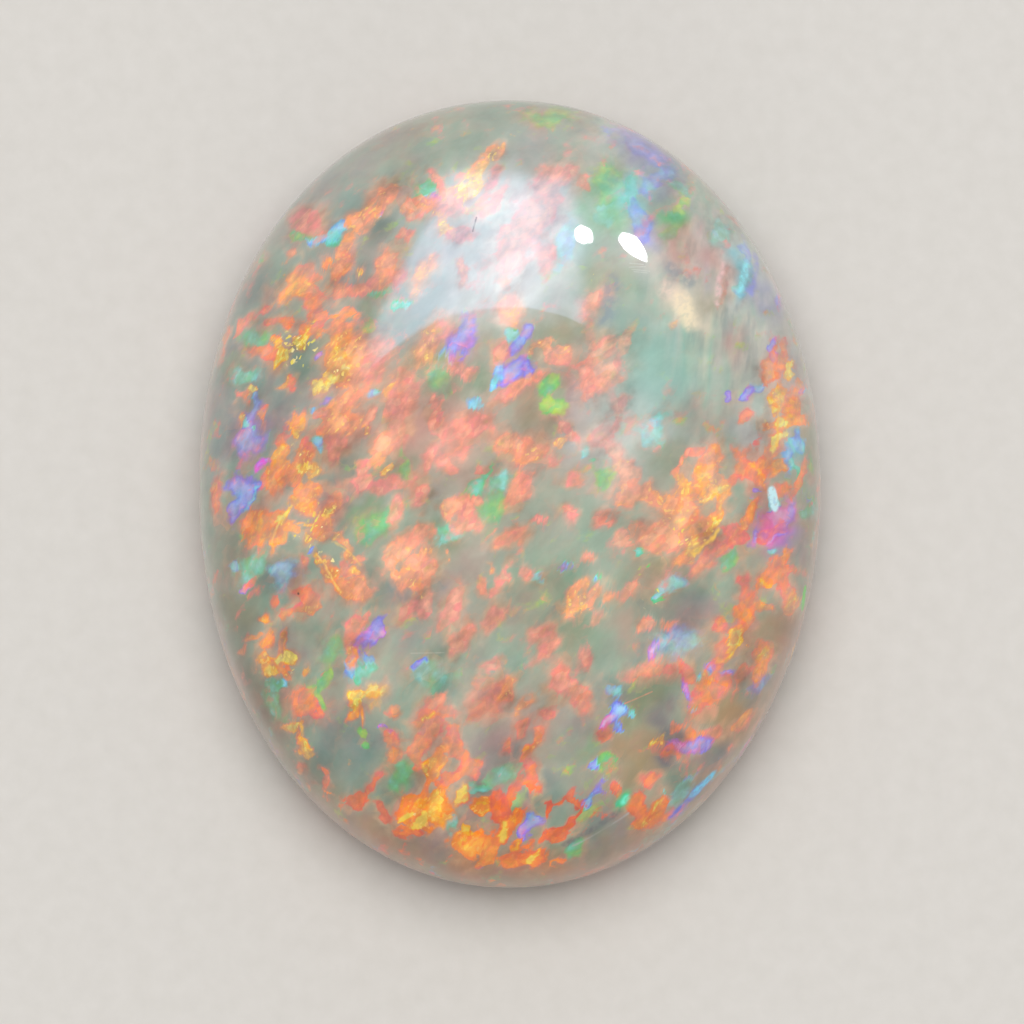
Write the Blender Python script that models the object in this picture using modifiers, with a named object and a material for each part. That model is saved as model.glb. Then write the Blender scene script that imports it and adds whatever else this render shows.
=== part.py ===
"""A polished opal cabochon: one oval stone with a domed top, a rounded girdle and a flat, bevelled back.

Metres, +Z up. The origin is the middle of the flat back, +Y runs along the oval and +X across it.
"""

import math

import bpy

# Sizes that a caliper reads on the stone
LENGTH = 0.0160
WIDTH = 0.0125
HEIGHT = 0.0055

# The widest line of the stone, and the rounded bevel that runs in from it to the back
GIRDLE_HEIGHT = 0.0011
BACK_INSET = 0.00095
BEVEL_SWEEP = math.radians(50)

# Squareness of the shapes: 2 is a plain ellipse, and more is fuller
OUTLINE_POWER = 2.05
DOME_REACH_POWER = 2.0
DOME_RISE_POWER = 2.2

# The oval is this share wider at +Y than halfway
EGG = 0.010

# Waves that hand cutting left in the outline: (waves round the stone, share of the radius, turn)
OUTLINE_WAVES = [(3, 0.0022, 0.8), (5, 0.0010, 2.1)]
# Height share of the two broad flats that hand polishing left on the dome's shoulders, and their turn
SHOULDER_FLATS = 0.012
SHOULDER_TURN = 1.1

# Facets of the solid
STEPS_ROUND = 72
DOME_RINGS = 22
BEVEL_RINGS = 6
BACK_RINGS = 2

# Points this near on the turning axis are one point
MERGE_DISTANCE = 1e-6

# The edge round the back is the only one sharper than this
BACK_EDGE_ANGLE = math.radians(20)

STONE_NAME = "opal_cabochon"
MILKY_GREEN = (0.42, 0.50, 0.43, 1.0)


def clear_scene():
    for obj in list(bpy.data.objects):
        bpy.data.objects.remove(obj)


def stone_profile():
    """Half of the stone's section, as (share of the radius, height), from the crown down to the back's middle."""
    dome_height = HEIGHT - GIRDLE_HEIGHT
    points = []
    for ring in range(DOME_RINGS + 1):
        angle = math.pi / 2 * ring / DOME_RINGS
        reach = math.sin(angle) ** (2 / DOME_REACH_POWER)
        rise = max(math.cos(angle), 0.0) ** (2 / DOME_RISE_POWER)
        points.append((reach, GIRDLE_HEIGHT + dome_height * rise))

    # An arc that leaves the girdle upright and meets the back on a slant
    inset = BACK_INSET / (WIDTH / 2)
    for ring in range(1, BEVEL_RINGS + 1):
        angle = BEVEL_SWEEP * ring / BEVEL_RINGS
        inward = (1 - math.cos(angle)) / (1 - math.cos(BEVEL_SWEEP))
        down = math.sin(angle) / math.sin(BEVEL_SWEEP)
        points.append((1 - inset * inward, GIRDLE_HEIGHT * (1 - down)))

    edge = points[-1][0]
    for ring in range(1, BACK_RINGS + 1):
        points.append((edge * (1 - ring / BACK_RINGS), 0.0))
    return points


def outline_radius(azimuth):
    """Distance from the axis to the girdle."""
    across = abs(math.cos(azimuth)) / (WIDTH / 2)
    along = abs(math.sin(azimuth)) / (LENGTH / 2)
    radius = (across**OUTLINE_POWER + along**OUTLINE_POWER) ** (-1 / OUTLINE_POWER)
    waves = sum(share * math.sin(count * azimuth + turn) for count, share, turn in OUTLINE_WAVES)
    return radius * (1 + waves)


def dome_flats(azimuth, reach):
    """Share by which the dome's height changes, zero at the crown and at the girdle."""
    between = 4 * reach**2 * (1 - reach**2)
    return SHOULDER_FLATS * between * math.cos(2 * azimuth + SHOULDER_TURN)


def shaped(point):
    """A point of the turned unit shape, moved onto the oval stone."""
    reach = math.hypot(point.x, point.y)
    azimuth = math.atan2(point.y, point.x)
    radius = reach * outline_radius(azimuth)
    x = radius * math.cos(azimuth)
    y = radius * math.sin(azimuth)
    x *= 1 + EGG * y / (LENGTH / 2)
    z = point.z
    if z > GIRDLE_HEIGHT:
        z = GIRDLE_HEIGHT + (z - GIRDLE_HEIGHT) * (1 + dome_flats(azimuth, reach))
    return x, y, z


def bring_to_size(mesh):
    """Centres the outline on the axis and gives it exactly the caliper sizes."""
    for axis, size in ((0, WIDTH), (1, LENGTH), (2, HEIGHT)):
        values = [vertex.co[axis] for vertex in mesh.vertices]
        low, high = min(values), max(values)
        middle = 0.0 if axis == 2 else (low + high) / 2
        for vertex in mesh.vertices:
            vertex.co[axis] = (vertex.co[axis] - middle) * size / (high - low)


def turned_blank(collection):
    """The profile turned round the Z axis, with a radius of 1 and the stone's real heights."""
    profile = stone_profile()
    mesh = bpy.data.meshes.new("blank_profile")
    edges = [(index, index + 1) for index in range(len(profile) - 1)]
    mesh.from_pydata([(reach, 0.0, height) for reach, height in profile], edges, [])
    blank = bpy.data.objects.new("blank_profile", mesh)
    collection.objects.link(blank)

    turn = blank.modifiers.new("turn", "SCREW")
    turn.steps = STEPS_ROUND
    turn.render_steps = STEPS_ROUND
    turn.use_merge_vertices = True
    turn.merge_threshold = MERGE_DISTANCE
    return blank


def opal_material():
    material = bpy.data.materials.new("milky_opal")
    material.use_nodes = True
    surface = material.node_tree.nodes["Principled BSDF"]
    surface.inputs["Base Color"].default_value = MILKY_GREEN
    surface.inputs["Roughness"].default_value = 0.06
    surface.inputs["Metallic"].default_value = 0.0
    surface.inputs["IOR"].default_value = 1.45
    return material


def build_stone(collection):
    blank = turned_blank(collection)
    bpy.context.view_layer.update()
    graph = bpy.context.evaluated_depsgraph_get()
    mesh = bpy.data.meshes.new_from_object(blank.evaluated_get(graph))
    bpy.data.objects.remove(blank)

    mesh.name = STONE_NAME
    for vertex in mesh.vertices:
        vertex.co = shaped(vertex.co)
    bring_to_size(mesh)
    mesh.shade_smooth()
    mesh.set_sharp_from_angle(angle=BACK_EDGE_ANGLE)
    mesh.materials.append(opal_material())

    stone = bpy.data.objects.new(STONE_NAME, mesh)
    collection.objects.link(stone)
    return stone


def main():
    clear_scene()
    collection = bpy.data.collections.new("polished_opal")
    bpy.context.scene.collection.children.link(collection)
    build_stone(collection)


main()
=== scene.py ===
# %% [markdown]
# # A polished opal cabochon
# The part is one stone: an oval of milky opal with a high dome, a thin rounded edge and a flat back.
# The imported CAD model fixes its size. This lesson makes the same stone again with a finer surface,
# paints the play of colour into it, and lights it the way a window and two small lamps would.
# Places on the stone are in millimetres, as they are seen from above: `across` counts to the right
# and `up` counts away from the reader, both from the middle of the oval.

# %% Load the frame
import math
import bpy
import numpy as np
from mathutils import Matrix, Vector
from mathutils.bvhtree import BVHTree


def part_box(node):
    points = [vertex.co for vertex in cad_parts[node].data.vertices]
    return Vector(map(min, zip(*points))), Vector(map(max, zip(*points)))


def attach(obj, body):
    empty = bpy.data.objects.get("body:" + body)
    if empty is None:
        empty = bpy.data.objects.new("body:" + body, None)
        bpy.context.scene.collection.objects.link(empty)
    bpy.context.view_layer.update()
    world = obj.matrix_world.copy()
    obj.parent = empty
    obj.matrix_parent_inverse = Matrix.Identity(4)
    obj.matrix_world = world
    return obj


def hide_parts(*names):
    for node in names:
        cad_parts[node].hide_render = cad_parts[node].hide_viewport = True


MM = 0.001
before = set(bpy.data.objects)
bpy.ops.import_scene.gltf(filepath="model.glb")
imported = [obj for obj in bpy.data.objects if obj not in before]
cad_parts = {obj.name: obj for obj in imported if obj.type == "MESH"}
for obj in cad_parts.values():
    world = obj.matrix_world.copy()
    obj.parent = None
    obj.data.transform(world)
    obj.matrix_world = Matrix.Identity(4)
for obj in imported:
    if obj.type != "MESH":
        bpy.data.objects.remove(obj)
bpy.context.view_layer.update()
low_corner, high_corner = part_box("opal_cabochon")
WIDTH, LENGTH, HEIGHT = high_corner - low_corner
print("the stone is", [round(side / MM, 2) for side in (WIDTH, LENGTH, HEIGHT)], "mm")

# %% [markdown]
# ## Formulas in node trees
# The stone's shape and its colours are both formulas, and a node tree holds a formula as a web of
# Math nodes. Laying each node by hand hides the formula, so a `Wire` stands for one value on its way
# through a tree. Adding or multiplying two wires adds the Math node that does it.

# %% A wire that does arithmetic
class Wire:
    """A value inside a node tree. Arithmetic on wires adds Math nodes to that tree."""

    def __init__(self, tree, socket):
        self.tree = tree
        self.socket = socket

    def __add__(self, other):
        return formula("ADD", self, other)

    def __sub__(self, other):
        return formula("SUBTRACT", self, other)

    def __rsub__(self, other):
        return formula("SUBTRACT", other, self)

    def __mul__(self, other):
        return formula("MULTIPLY", self, other)

    def __truediv__(self, other):
        return formula("DIVIDE", self, other)

    def __rtruediv__(self, other):
        return formula("DIVIDE", other, self)

    def __pow__(self, other):
        return formula("POWER", self, other)

    __radd__ = __add__
    __rmul__ = __mul__


def node(tree, kind, inputs=None, **settings):
    """Adds one node to a tree, chooses its settings, and fills or connects its inputs."""
    made = tree.nodes.new(kind)
    for name, value in settings.items():
        setattr(made, name, value)
    for key, value in (inputs or {}).items():
        if isinstance(value, Wire):
            tree.links.new(value.socket, made.inputs[key])
        else:
            made.inputs[key].default_value = value
    return made


def out(made, key=0):
    """The wire that leaves one output of a node."""
    return Wire(made.id_data, made.outputs[key])


def tree_of(*values):
    """The tree that the first wire among the values belongs to."""
    return next(value.tree for value in values if isinstance(value, Wire))


def formula(operation, *values):
    """One Math node, fed with wires or plain numbers."""
    inputs = dict(enumerate(values))
    return out(node(tree_of(*values), "ShaderNodeMath", inputs, operation=operation))


def vector_formula(operation, *values):
    """One Vector Math node. Plain numbers are given as tuples."""
    inputs = dict(enumerate(values))
    return out(node(tree_of(*values), "ShaderNodeVectorMath", inputs, operation=operation))


def scaled(direction, share):
    """A vector made longer or shorter."""
    inputs = {0: direction, "Scale": share}
    return out(node(tree_of(direction, share), "ShaderNodeVectorMath", inputs, operation="SCALE"))


def vector(tree, x=0.0, y=0.0, z=0.0):
    """Three wires or numbers joined into one vector."""
    return out(node(tree, "ShaderNodeCombineXYZ", {"X": x, "Y": y, "Z": z}))


def parts(wire):
    """The x, y and z wires of a vector."""
    made = node(wire.tree, "ShaderNodeSeparateXYZ", {"Vector": wire})
    return out(made, "X"), out(made, "Y"), out(made, "Z")


def stretch(wire, low, high, new_low=0.0, new_high=1.0, smooth=False):
    """Maps the range low..high to new_low..new_high and holds it there."""
    kind = "SMOOTHSTEP" if smooth else "LINEAR"
    inputs = {"Value": wire, "From Min": low, "From Max": high, "To Min": new_low, "To Max": new_high}
    return out(node(wire.tree, "ShaderNodeMapRange", inputs, interpolation_type=kind))


print("wires ready")

# %% [markdown]
# ## The blank
# A cabochon is ground to a rule: an oval outline, a dome that rises from it, a narrow bevel under the
# edge and a flat back. Geometry Nodes suit that, because the sizes stay named inputs of the tree.
# Two sheets cover the stone. A square grid, pressed into a disc, becomes the dome, so the dome has
# even, small faces and no pole at its top. A strip of rings becomes the bevel and the back. Both
# sheets only say where they are on the stone, and one shared group works out the place itself.

# %% Sizes of the blank
BLANK_SIZES = {
    "Girdle Height": 1.1 * MM,       # the widest level, above the back
    "Back Inset": 0.95 * MM,         # how far the flat back lies inside the outline
    "Bevel Sweep": math.radians(50),
    "Outline Power": 2.05,           # 2 is an ellipse, more is fuller at the corners
    "Dome Reach Power": 2.0,
    "Dome Rise Power": 2.2,          # above 2, so that the top is a little flatter
    "Egg": 0.010,                    # one end is this share wider than the middle
    "Shoulder Flats": 0.012,         # the grinder's slightly flatter and fuller shoulders
    "Shoulder Turn": 1.1,
    "Polish Wave": 0.004 * MM,       # the faint waviness that hand polishing leaves
}
POLISH_WAVE_SCALE = 700.0        # waves per metre
OUTLINE_WAVES = ((3, 0.0022, 0.8), (5, 0.0010, 2.1))   # (waves round the outline, share, turn)
DOME_CELLS = 280
DOME_EDGE_POINTS = 4 * DOME_CELLS
BACK_RINGS = 11
BEVEL_SHARE = 0.5                # the part of those rings that the bevel takes
WELD_DISTANCE = 0.0002 * MM
print(DOME_CELLS ** 2 * 2 + DOME_EDGE_POINTS * BACK_RINGS * 2, "triangles at most")

# %% [markdown]
# The outline is a superellipse, written as a distance from the middle for every direction. Each
# ring of the dome is the same outline, drawn smaller as the dome rises.

# %% The shared rule of the surface
def surface_rule():
    """A node group: a place on the disc, a bevel share and a back share give a point of the stone."""
    rule = bpy.data.node_groups.new("Cabochon rule", "GeometryNodeTree")
    face = rule.interface
    face.new_socket("Disc", in_out="INPUT", socket_type="NodeSocketVector")
    for name in ["Bevel", "Back", "Width", "Length", "Height", *BLANK_SIZES]:
        face.new_socket(name, in_out="INPUT", socket_type="NodeSocketFloat")
    face.new_socket("Point", in_out="OUTPUT", socket_type="NodeSocketVector")
    given = node(rule, "NodeGroupInput")
    size = {name: out(given, name) for name in ["Width", "Length", "Height", *BLANK_SIZES]}
    girdle = size["Girdle Height"]

    disc_x, disc_y, _ = parts(out(given, "Disc"))
    reach_share = formula("MINIMUM", (disc_x * disc_x + disc_y * disc_y) ** 0.5, 1.0)
    turn = formula("ARCTAN2", disc_y, disc_x)
    climb = reach_share * (math.pi / 2)
    reach = formula("SINE", climb) ** (2 / size["Dome Reach Power"])
    rise = formula("MAXIMUM", formula("COSINE", climb), 0.0) ** (2 / size["Dome Rise Power"])

    power = size["Outline Power"]
    along_x = formula("ABSOLUTE", formula("COSINE", turn)) / (size["Width"] * 0.5)
    along_y = formula("ABSOLUTE", formula("SINE", turn)) / (size["Length"] * 0.5)
    radius = 1 / (along_x ** power + along_y ** power) ** (1 / power)
    for count, share, phase in OUTLINE_WAVES:
        radius = radius * (formula("SINE", turn * count + phase) * share + 1)

    sweep = size["Bevel Sweep"]
    bent = out(given, "Bevel") * sweep
    inward = (1 - formula("COSINE", bent)) / (1 - formula("COSINE", sweep))
    down = formula("SINE", bent) / formula("SINE", sweep)
    inset = size["Back Inset"] / (size["Width"] * 0.5)
    across = reach * radius * (1 - inset * inward) * (1 - out(given, "Back"))

    flats = reach * reach * (1 - reach * reach) * 4 * size["Shoulder Flats"]
    flats = flats * formula("COSINE", turn * 2 + size["Shoulder Turn"])
    x = across * formula("COSINE", turn)
    y = across * formula("SINE", turn)
    x = x * (size["Egg"] * y / (size["Length"] * 0.5) + 1)
    z = girdle + (size["Height"] - girdle) * rise * (flats + 1) - girdle * down
    node(rule, "NodeGroupOutput", {"Point": vector(rule, x, y, z)})
    return rule


cabochon_rule = surface_rule()
print("the rule has", len(cabochon_rule.nodes), "nodes")

# %% [markdown]
# The grid's square is pressed into a disc so that every square ring becomes a round ring with
# evenly spaced points. The last ring then has exactly the points of the strip of rings, and
# Merge by Distance welds the two sheets into one closed skin.

# %% The two sheets
def moved(tree, sheet, position):
    return out(node(tree, "GeometryNodeSetPosition", {"Geometry": sheet, "Position": position}))


def ruled(tree, given, **where):
    """The shared rule, fed with a place on one sheet and with the blank's sizes."""
    group = node(tree, "GeometryNodeGroup", node_tree=cabochon_rule)
    for name in ["Width", "Length", "Height", *BLANK_SIZES]:
        tree.links.new(given.outputs[name], group.inputs[name])
    for name, value in where.items():
        if isinstance(value, Wire):
            tree.links.new(value.socket, group.inputs[name])
        else:
            group.inputs[name].default_value = value
    return out(group)


def dome_sheet(tree, given):
    """A square grid pressed into a disc and raised to the dome."""
    side = {"Size X": 2.0, "Size Y": 2.0, "Vertices X": DOME_CELLS + 1, "Vertices Y": DOME_CELLS + 1}
    grid = out(node(tree, "GeometryNodeMeshGrid", side), "Mesh")
    a, b, _ = parts(out(node(tree, "GeometryNodeInputPosition")))
    a_leads = formula("GREATER_THAN", formula("ABSOLUTE", a), formula("ABSOLUTE", b))
    ring = a * a_leads + b * (1 - a_leads)
    turn_a = (b / a) * (math.pi / 4)
    turn_b = math.pi / 2 - (a / b) * (math.pi / 4)
    turn = turn_a * a_leads + turn_b * (1 - a_leads)
    disc = vector(tree, ring * formula("COSINE", turn), ring * formula("SINE", turn))
    return moved(tree, grid, ruled(tree, given, Disc=disc))


def back_sheet(tree, given):
    """Rings from the widest level round the bevel and across the flat back."""
    side = {"Size X": 1.0, "Size Y": 1.0, "Vertices X": DOME_EDGE_POINTS + 1,
            "Vertices Y": BACK_RINGS + 1}
    strip = out(node(tree, "GeometryNodeMeshGrid", side), "Mesh")
    a, b, _ = parts(out(node(tree, "GeometryNodeInputPosition")))
    turn = (a + 0.5) * (-2 * math.pi)
    ring = b + 0.5
    disc = vector(tree, formula("COSINE", turn), formula("SINE", turn))
    bevel = stretch(ring, 0.0, BEVEL_SHARE)
    back = stretch(ring, BEVEL_SHARE, 1.0)
    return moved(tree, strip, ruled(tree, given, Disc=disc, Bevel=bevel, Back=back))


print("two sheets ready")

# %% [markdown]
# The outline's waves change the oval's width and length by a few hundredths, so the last steps
# measure the skin and scale it to its exact sizes. Then the polish wave moves it by a few
# thousandths of a millimetre, which makes the reflections swim a little, as they do on real stones.

# %% The whole tree
def cabochon_tree():
    """The node tree that makes the stone, from its sizes to its finished skin."""
    tree = bpy.data.node_groups.new("Opal cabochon", "GeometryNodeTree")
    face = tree.interface
    for name in ["Width", "Length", "Height", *BLANK_SIZES]:
        face.new_socket(name, in_out="INPUT", socket_type="NodeSocketFloat")
    face.new_socket("Finish", in_out="INPUT", socket_type="NodeSocketMaterial")
    face.new_socket("Stone", in_out="OUTPUT", socket_type="NodeSocketGeometry")
    given = node(tree, "NodeGroupInput")

    both = node(tree, "GeometryNodeJoinGeometry")
    for sheet in (dome_sheet(tree, given), back_sheet(tree, given)):
        tree.links.new(sheet.socket, both.inputs[0])
    weld = {"Geometry": out(both), "Distance": WELD_DISTANCE}
    skin = out(node(tree, "GeometryNodeMergeByDistance", weld))

    limits = node(tree, "GeometryNodeBoundBox", {"Geometry": skin})
    low, high = out(limits, "Min"), out(limits, "Max")
    middle = vector_formula("MULTIPLY", vector_formula("ADD", low, high), (0.5, 0.5, 0.0))
    wanted = vector(tree, out(given, "Width"), out(given, "Length"), out(given, "Height"))
    scale = vector_formula("DIVIDE", wanted, vector_formula("SUBTRACT", high, low))
    place = out(node(tree, "GeometryNodeInputPosition"))
    exact = vector_formula("MULTIPLY", vector_formula("SUBTRACT", place, middle), scale)
    skin = moved(tree, skin, exact)

    noise = {"Vector": place, "Scale": POLISH_WAVE_SCALE, "Detail": 1.0}
    ripple = node(tree, "ShaderNodeTexNoise", noise)
    swell = (out(ripple, "Fac") - 0.5) * out(given, "Polish Wave")
    above = formula("GREATER_THAN", parts(place)[2], out(given, "Girdle Height"))
    push = scaled(out(node(tree, "GeometryNodeInputNormal")), swell * above)
    skin = out(node(tree, "GeometryNodeSetPosition", {"Geometry": skin, "Offset": push}))

    skin = out(node(tree, "GeometryNodeSetShadeSmooth", {"Geometry": skin}))
    skin = out(node(tree, "GeometryNodeRealizeInstances", {"Geometry": skin}))
    dressed = {"Geometry": skin, "Material": out(given, "Finish")}
    skin = out(node(tree, "GeometryNodeSetMaterial", dressed))
    node(tree, "NodeGroupOutput", {"Stone": skin})
    return tree


opal = bpy.data.materials.new("milky opal")
opal.use_nodes = True
stone_tree = cabochon_tree()
print("the stone's tree has", len(stone_tree.nodes), "nodes")

# %% [markdown]
# A modifier's inputs are set by each socket's identifier. The evaluated result is then turned into
# a plain mesh, so that the export meets an ordinary object without a modifier.

# %% Make the stone
def plain_mesh_from(tree, name, values):
    """Runs a geometry tree once and keeps its result as an ordinary mesh object."""
    holder = bpy.data.objects.new(name, bpy.data.meshes.new(name + " seed"))
    bpy.context.scene.collection.objects.link(holder)
    modifier = holder.modifiers.new("shape", "NODES")
    modifier.node_group = tree
    for socket in tree.interface.items_tree:
        if socket.in_out == "INPUT":
            modifier[socket.identifier] = values[socket.name]
    bpy.context.view_layer.update()
    evaluated = holder.evaluated_get(bpy.context.evaluated_depsgraph_get())
    mesh = bpy.data.meshes.new_from_object(evaluated)
    holder.modifiers.clear()
    holder.data = mesh
    mesh.name = name
    mesh.materials.clear()       # the grids bring an empty slot of their own
    mesh.materials.append(values["Finish"])
    mesh.polygons.foreach_set("material_index", [0] * len(mesh.polygons))
    return holder


stone_values = {"Width": WIDTH, "Length": LENGTH, "Height": HEIGHT, "Finish": opal, **BLANK_SIZES}
stone = plain_mesh_from(stone_tree, "polished_opal", stone_values)
print("vertices", len(stone.data.vertices), "faces", len(stone.data.polygons),
      "size", [round(side / MM, 3) for side in stone.dimensions], "mm")
print("materials", [finish.name for finish in stone.data.materials])

# %% [markdown]
# ## The camera comes before the colours
# Seen from above, a dome shows its colours through its curved surface. So the colours are laid on
# the stone as the camera sees them, and the camera has to be fixed first. It stands 200 mm away, a
# little to the near side of straight above, and a long lens keeps the oval from bulging. The lens
# is worked out from the oval's width in the picture: project the stone, compare, and scale.

# %% The camera
PICTURE_SIDE = 1024              # pixels
OVAL_MIDDLE = (510, 494)         # pixels from the left and from the top
OVAL_WIDTH = 622                 # pixels
PIXELS_PER_MM = 49.2             # the scale of every place given as `across` and `up`
CAMERA_DISTANCE = 200 * MM
CAMERA_ELEVATION = math.radians(80)
SENSOR = 36.0                    # mm
LENS_ROUNDS = 3                  # each comparison leaves a smaller error

stone_middle = Vector((0, 0, BLANK_SIZES["Girdle Height"]))
backward = Vector((0, -math.cos(CAMERA_ELEVATION), math.sin(CAMERA_ELEVATION)))
upward = Vector((0, math.sin(CAMERA_ELEVATION), math.cos(CAMERA_ELEVATION)))
rightward = Vector((1, 0, 0))
skin_points = np.empty(len(stone.data.vertices) * 3, np.float32)
stone.data.vertices.foreach_get("co", skin_points)
skin_points = skin_points.reshape(-1, 3).astype(float)


def in_picture(points, eye, lens):
    """Pixel places, from the left and from the top, of points seen by a camera at `eye`."""
    offset = points - np.array(eye)
    focal = lens / SENSOR * PICTURE_SIDE / -(offset @ np.array(backward))
    from_left = PICTURE_SIDE / 2 + focal * (offset @ np.array(rightward))
    from_top = PICTURE_SIDE / 2 - focal * (offset @ np.array(upward))
    return from_left, from_top


eye = stone_middle + backward * CAMERA_DISTANCE
lens = SENSOR * CAMERA_DISTANCE / WIDTH
for _ in range(LENS_ROUNDS):
    from_left, from_top = in_picture(skin_points, eye, lens)
    lens *= OVAL_WIDTH / np.ptp(from_left)
    pixel = SENSOR * CAMERA_DISTANCE / (lens * PICTURE_SIDE)
    right_by = (from_left.max() + from_left.min()) / 2 - OVAL_MIDDLE[0]
    down_by = (from_top.max() + from_top.min()) / 2 - OVAL_MIDDLE[1]
    eye = eye + rightward * float(right_by * pixel) - upward * float(down_by * pixel)

camera_data = bpy.data.cameras.new("camera")
camera_data.lens = lens
camera_data.sensor_width = SENSOR
camera_data.clip_start = CAMERA_DISTANCE / 20
camera = bpy.data.objects.new("camera", camera_data)
camera.location = eye
camera.rotation_euler = (math.pi / 2 - CAMERA_ELEVATION, 0, 0)
bpy.context.scene.collection.objects.link(camera)
bpy.context.scene.camera = camera
from_left, from_top = in_picture(skin_points, eye, lens)
print("lens", round(lens), "mm, the oval spans", [round(float(edge)) for edge in
      (from_left.min(), from_left.max(), from_top.min(), from_top.max())], "pixels")

# %% Places as they are seen
across = (from_left - OVAL_MIDDLE[0]) / PIXELS_PER_MM
up = (OVAL_MIDDLE[1] - from_top) / PIXELS_PER_MM
for word, places in (("across", across), ("up", up)):
    print(word, round(places.min(), 2), "to", round(places.max(), 2), "mm")

# %% [markdown]
# ## Where the colours lie
# Precious opal is made of layers of tiny spheres, and each patch of them throws back one colour.
# Their places follow no rule that a formula could hold, so they are listed one by one, as a painter
# would lay them: every flash is a rough ellipse with a place, half its length and width, the turn of
# its length, its colour and how deep in the milk it lies. Warm flashes run from rose (0) through
# orange (0.5) to yellow (1). Cool ones run from lime (0) through green (0.17), cyan (0.5) and
# blue (0.75) to violet (0.9) and pink (1). Depth is 0 for a crisp flash, where it is left out, and
# 1 for one lost in haze. A later flash lies over an earlier one.

# %% Warm flashes of the top
WARM_TOP = (   # across, up, half length, half width, turn, warmth of colour, depth
    (-4.15, 5.6, 0.3, 0.22, -15, 0), (-2.5, 6.05, 0.28, 0.2, 40, 0.38), (-3, 5.6, 0.34, 0.12, 35, 0.52),
    (-4.4, 4.88, 0.1, 0.07, 10, 0.2), (-4.35, 4.25, 0.36, 0.17, 25, 0.5),
    (-4.2, 4.56, 0.13, 0.08, 40, 0.12, 0.05), (-3.95, 4.42, 0.12, 0.1, 0, 0.22),
    (-3.4, 4.72, 0.45, 0.13, 75, 0.42), (-3.74, 4.7, 0.14, 0.08, -60, 0.42),
    (-2.52, 4.55, 0.38, 0.16, 70, 0.38), (-2.85, 4.22, 0.26, 0.1, 40, 0.05, 0.05),
    (-3.3, 4.1, 0.3, 0.11, 20, 0.22, 0.05), (-3.95, 4.05, 0.2, 0.11, 0, 0.1, 0.1),
    (-3.08, 4.57, 0.06, 0.06, 0, 1), (-2.18, 5.28, 0.13, 0.08, 0, 0.1),
    (-2.22, 4.5, 0.16, 0.12, 60, 0.15, 0.2), (-0.6, 6.66, 0.22, 0.13, 55, 0.72),
    (-0.77, 6.28, 0.33, 0.14, 66, 1), (-1.02, 6.07, 0.16, 0.06, 30, 0.8),
    (-0.2, 6.95, 0.18, 0.12, 70, 0.5), (-0.38, 7, 0.18, 0.05, 50, 0.65),
    (-0.14, 7.08, 0.08, 0.04, 70, 0.9), (-0.4, 6.35, 0.25, 0.09, 65, 0.08, 0.25),
    (-1.88, 5.72, 0.15, 0.11, 0, 0.12, 0.1), (-1.87, 5.92, 0.26, 0.13, 8, 0.45),
    (-1.5, 6.35, 0.18, 0.09, -50, 0.15, 0.05), (-1.3, 5.85, 0.28, 0.18, 20, 0.12, 0.25),
    (-1.38, 5.56, 0.32, 0.05, -45, 0.78, 0.1), (-1.25, 5.42, 0.12, 0.1, 0, 0.9, 0.1),
    (-1.03, 5.3, 0.24, 0.14, -10, 0.12, 0.2), (-0.38, 5.88, 0.33, 0.1, 50, 0.08, 0.25),
    (0.88, 6.3, 0.36, 0.24, 45, 0.1, 0.25), (1.12, 6.52, 0.16, 0.11, 60, 0.12, 0.1),
    (0.35, 5.5, 0.8, 0.34, 52, 0.06, 0.22), (0.1, 4.85, 0.32, 0.28, 80, 0.1, 0.3),
    (0.72, 4.85, 0.22, 0.2, 90, 0.16, 0.25), (1.47, 6.35, 0.1, 0.1, 0, 0.22, 0.05),
    (-0.98, 4.5, 0.2, 0.07, 100, 0.35, 0.3), (-1.8, 4.45, 0.3, 0.13, 60, 0.6, 0.45),
    (-0.1, 4.3, 0.12, 0.1, 0, 0.5, 0.3), (4.4, 4.25, 0.25, 0.07, 85, 0.1, 0.8),
    (4.58, 5.52, 0.1, 0.04, -55, 0.05, 0.2), (3.4, 3.5, 0.1, 0.05, 20, 0.7, 0.8),
    (-5.78, 3.2, 0.45, 0.05, 75, 0.22, 0.05),
)
print(len(WARM_TOP), "flashes")

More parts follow.
